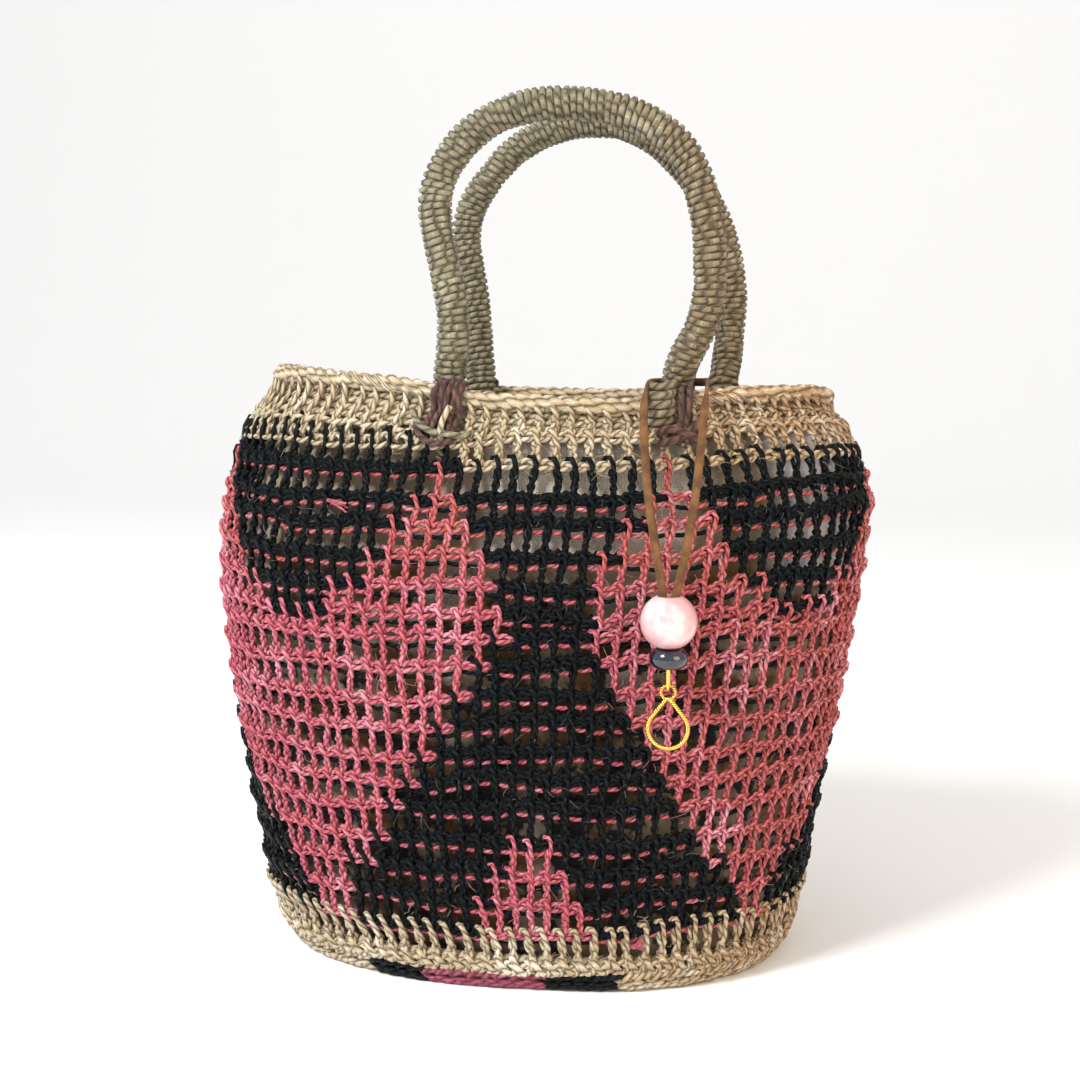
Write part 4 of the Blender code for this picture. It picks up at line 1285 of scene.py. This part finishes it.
class BILUM_OT_charm(bpy.types.Operator):
    """Hang the charm: a suede lace with two beads, a gold link and an open gold drop"""

    bl_idname = "bilum.charm"
    bl_label = "Charm"

    def execute(self, context):
        quartz, rondelle = self.beads()
        link = self.link()
        self.pendant()
        self.lace([quartz, rondelle, link])
        return {"FINISHED"}

    def beads(self):
        limit = math.asin(QUARTZ["half_height"] / QUARTZ["radius"])
        profile = []
        for i in range(25):
            angle = limit - 2 * limit * i / 24
            radius = QUARTZ["radius"] * math.cos(angle)
            profile.append((radius, QUARTZ["z"] + QUARTZ["radius"] * math.sin(angle)))
        soft, bore, half = 0.35, QUARTZ["bore"], QUARTZ["half_height"]
        profile.append((bore + soft * 0.3, QUARTZ["z"] - half + 0.05))
        profile.append((bore, QUARTZ["z"] - half + soft))
        profile.append((bore, QUARTZ["z"] + half - soft))
        profile.append((bore + soft * 0.3, QUARTZ["z"] + half - 0.05))
        mesh = spun("quartz_bead", profile, 64)
        finish = quartz_finish("quartz_finish")
        quartz = add_piece("quartz_bead", mesh, finish, replaces=("bead_quartz",))
        edge, half = RONDELLE["edge"], RONDELLE["half_height"]
        profile = []
        for i in range(19):
            angle = math.pi / 2 - math.pi * i / 18
            radius = RONDELLE["radius"] - edge + edge * math.cos(angle)
            profile.append((radius, RONDELLE["z"] + half * math.sin(angle)))
        profile.append((RONDELLE["bore"], RONDELLE["z"] - half + 0.15))
        profile.append((RONDELLE["bore"], RONDELLE["z"] + half - 0.15))
        mesh = spun("dark_rondelle", profile, 56)
        finish = dark_stone_finish("dark_stone_finish")
        rondelle = add_piece("dark_rondelle", mesh, finish, replaces=("bead_dark",))
        return quartz, rondelle

    def link(self):
        half = LINK["half_width"]
        points = []
        for centre, start in ((LINK["high_z"] - half, 0.0), (LINK["low_z"] + half, math.pi)):
            for i in range(9):
                angle = start + math.pi * i / 8
                points.append((CHARM_X, CHARM_Y + half * math.cos(angle), centre + half * math.sin(angle)))
        points += points[:2]
        route, _ = even_route(points, 60)
        mesh = strand_mesh("gold_link", route[None], LINK["wire"], 0.0, sides=8)
        finish = gold_finish("gold_wire_finish", 0.0)
        return add_piece("gold_link", mesh, finish, replaces=("eye_link",))

    def pendant(self):
        """An open drop of twisted wire under its round eye."""
        finish = gold_finish("gold_twist_finish", 1.0)
        eye = [(2.45 * math.cos(a), 2.45 * math.sin(a)) for a in np.linspace(0, 2 * math.pi * 1.03, 40)]
        top, low, small, large = -3.7, -13.0, 1.35, 7.0
        lean = math.asin((large - small) / (top - low))
        drop = []
        for radius, z, start, sweep in (
            (small, top, lean, math.pi - 2 * lean),
            (large, low, math.pi - lean, math.pi + 2 * lean),
        ):
            for i in range(17):
                angle = start + sweep * i / 16
                drop.append((radius * math.cos(angle), z + radius * math.sin(angle)))
        drop += drop[:2]
        meshes = []
        for outline, wire in ((eye, 0.56), (drop, 0.8)):
            points = [(CHARM_X + x, CHARM_Y, PENDANT_EYE_Z + z) for x, z in outline]
            route, _ = even_route(points, 110)
            meshes.append(strand_mesh("wire", route[None], wire, 0.0, sides=8))
        mesh = merged("gold_drop", meshes)
        return add_piece("gold_drop", mesh, finish, body="pendant", replaces=("pendant",))

    def lace(self, beads):
        route, length = even_route(LACE_ROUTE, 120)
        tangent = unit(np.gradient(route, axis=0))
        height = route[:, 2]
        edgewise = np.clip((height - 216) / 8, 0, 1)[:, None]
        wide = (1 - edgewise) * np.array([1.0, 0.0, 0.0]) + edgewise * np.array([0.0, 0.0, 1.0])
        wide = unit(wide - np.sum(wide * tangent, axis=1, keepdims=True) * tangent)
        thin = np.cross(tangent, wide)
        mesh = strand_mesh(
            "suede_lace", route[None], LACE_THICKNESS / 2, 0.0, sides=8,
            frames=(wide[None], thin[None]), widths=LACE_WIDTH / 2,
        )
        finish = suede_finish("suede_finish")
        made = add_piece("suede_lace", mesh, finish, replaces=("charm_lace",))
        return made


class BILUM_OT_fibres(bpy.types.Operator):
    """Let stray fibres stand out of the net, the rim and the handles"""

    bl_idname = "bilum.fibres"
    bl_label = "Stray fibres"

    def execute(self, context):
        random = np.random.default_rng(57)
        count = context.scene.bilum_twine.fibres
        column = random.uniform(0, COLUMNS, count)
        z = random.uniform(6, 214, count)
        length = random.uniform(1.0, 5.0, count)
        lean = random.normal(0, 1.0, (count, 2))
        lean /= np.linalg.norm(lean, axis=1, keepdims=True)
        bend = random.normal(0, 0.35, (count, 2))
        routes = []
        for share in (0.0, 0.33, 0.66, 1.0):
            side = length * share * (lean[:, 0] + bend[:, 0] * share)
            up = length * share * (lean[:, 1] + bend[:, 1] * share)
            out = 0.5 + 1.6 * math.sin(math.pi * share * 0.8) * random.uniform(0.3, 1.0, count)
            routes.append(wall(column + side / column_pitch(z), np.clip(z + up, 1, 219), out - 1.0))
        routes = np.stack(routes, axis=1)
        mesh = strand_mesh("stray_fibres", smooth(routes, 5), 0.06, random.uniform(0, 1, count), sides=3)
        tint = np.where(is_rose(column, z)[:, None], (0.62, 0.16, 0.19), (0.06, 0.07, 0.08))
        tint = np.where(((z > 193) | (z < 40))[:, None], (0.55, 0.45, 0.30), tint)
        shown = np.concatenate([tint, np.ones((count, 1))], axis=1)
        layer = mesh.attributes.new("tint", "FLOAT_COLOR", "POINT")
        layer.data.foreach_set("color", np.repeat(shown, len(mesh.vertices) // count, axis=0).ravel())
        add_piece("stray_fibres", mesh, fuzz_finish("fibre_finish"))
        return {"FINISHED"}


class BILUM_OT_stage(bpy.types.Operator):
    """Set the pale floor, the soft lights and the camera"""

    bl_idname = "bilum.stage"
    bl_label = "Floor, lights and camera"

    def execute(self, context):
        settings = context.scene.bilum_stage
        self.floor(tuple(settings.floor))
        self.light("key_light", (-0.75, -1.05, 1.3), 0.5, settings.key, (0.97, 0.985, 1.0))
        self.light("fill_light", (1.1, -0.75, 0.6), 0.9, settings.fill, (1.0, 0.76, 0.5))
        world = bpy.data.worlds.new("surroundings")
        world.use_nodes = True
        world.node_tree.nodes["Background"].inputs["Color"].default_value = (1, 1, 1, 1)
        world.node_tree.nodes["Background"].inputs["Strength"].default_value = settings.sky
        context.scene.world = world
        context.scene.view_settings.view_transform = "Standard"
        self.camera(context)
        return {"FINISHED"}

    def floor(self, colour):
        """A paper sweep: a floor that curves up behind the bag."""
        work = bmesh.new()
        profile = [(-3.0, 0.0), (1.6, 0.0)]
        for i in range(1, 13):
            angle = math.pi / 2 * i / 12
            profile.append((1.6 + 1.2 * math.sin(angle), 1.2 - 1.2 * math.cos(angle)))
        profile.append((2.8, 4.0))
        verts = [work.verts.new((-4.0, y, z)) for y, z in profile]
        edges = [work.edges.new(pair) for pair in zip(verts, verts[1:])]
        grown = bmesh.ops.extrude_edge_only(work, edges=edges)["geom"]
        new = [g for g in grown if isinstance(g, bmesh.types.BMVert)]
        bmesh.ops.translate(work, verts=new, vec=(8.0, 0, 0))
        bmesh.ops.recalc_face_normals(work, faces=work.faces)
        if work.faces[:][0].normal.z < 0:
            bmesh.ops.reverse_faces(work, faces=work.faces)
        mesh = bpy.data.meshes.new("paper_floor")
        work.to_mesh(mesh)
        work.free()
        made = bpy.data.objects.new("paper_floor", mesh)
        bpy.context.scene.collection.objects.link(made)
        mesh.materials.append(paper_finish("paper_finish", colour))
        mesh.polygons.foreach_set("use_smooth", [True] * len(mesh.polygons))

    def light(self, name, at, size, power, colour):
        data = bpy.data.lights.new(name, "AREA")
        data.color = colour
        data.shape = "DISK"
        data.size = size
        data.energy = power
        made = bpy.data.objects.new(name, data)
        made.location = at
        aim = Vector((0, 0, 0.14)) - Vector(at)
        made.rotation_euler = aim.to_track_quat("-Z", "Y").to_euler()
        bpy.context.scene.collection.objects.link(made)

    def camera(self, context):
        turn, down = math.radians(CAMERA_TURN), math.radians(CAMERA_DOWN)
        right = Vector((math.cos(turn), math.sin(turn), 0))
        ahead = Vector((-math.sin(turn) * math.cos(down), math.cos(turn) * math.cos(down), -math.sin(down)))
        above = right.cross(ahead)
        data = bpy.data.cameras.new("camera")
        data.lens = CAMERA_LENS
        data.sensor_width = 36.0
        data.clip_start = 0.05
        made = bpy.data.objects.new("camera", data)
        made.matrix_world = Matrix(
            (
                (right.x, above.x, -ahead.x, CAMERA_AT[0]),
                (right.y, above.y, -ahead.y, CAMERA_AT[1]),
                (right.z, above.z, -ahead.z, CAMERA_AT[2]),
                (0, 0, 0, 1),
            )
        )
        context.scene.collection.objects.link(made)
        context.scene.camera = made


class BILUM_PT_sidebar(bpy.types.Panel):
    """The bag's pieces and settings in the 3D view's sidebar"""

    bl_idname = "BILUM_PT_sidebar"
    bl_label = "Bilum string bag"
    bl_space_type = "VIEW_3D"
    bl_region_type = "UI"
    bl_category = "Bilum"

    def draw(self, context):
        for made in MAKERS:
            self.layout.operator(made.bl_idname)
        for group in (context.scene.bilum_twine, context.scene.bilum_stage):
            box = self.layout.box()
            for name in group.__annotations__:
                box.prop(group, name)


MAKERS = (
    BILUM_OT_stage,
    BILUM_OT_net,
    BILUM_OT_bands,
    BILUM_OT_rim,
    BILUM_OT_handles,
    BILUM_OT_lashings,
    BILUM_OT_lining,
    BILUM_OT_charm,
    BILUM_OT_fibres,
)
CLASSES = (BilumTwine, BilumStage, *MAKERS, BILUM_PT_sidebar)


def register():
    for made in CLASSES:
        bpy.utils.register_class(made)
    bpy.types.Scene.bilum_twine = PointerProperty(type=BilumTwine)
    bpy.types.Scene.bilum_stage = PointerProperty(type=BilumStage)


def unregister():
    del bpy.types.Scene.bilum_stage
    del bpy.types.Scene.bilum_twine
    for made in reversed(CLASSES):
        bpy.utils.unregister_class(made)


def main():
    register()
    for made in MAKERS:
        group, name = made.bl_idname.split(".")
        getattr(getattr(bpy.ops, group), name)()


if __name__ == "__main__":
    main()
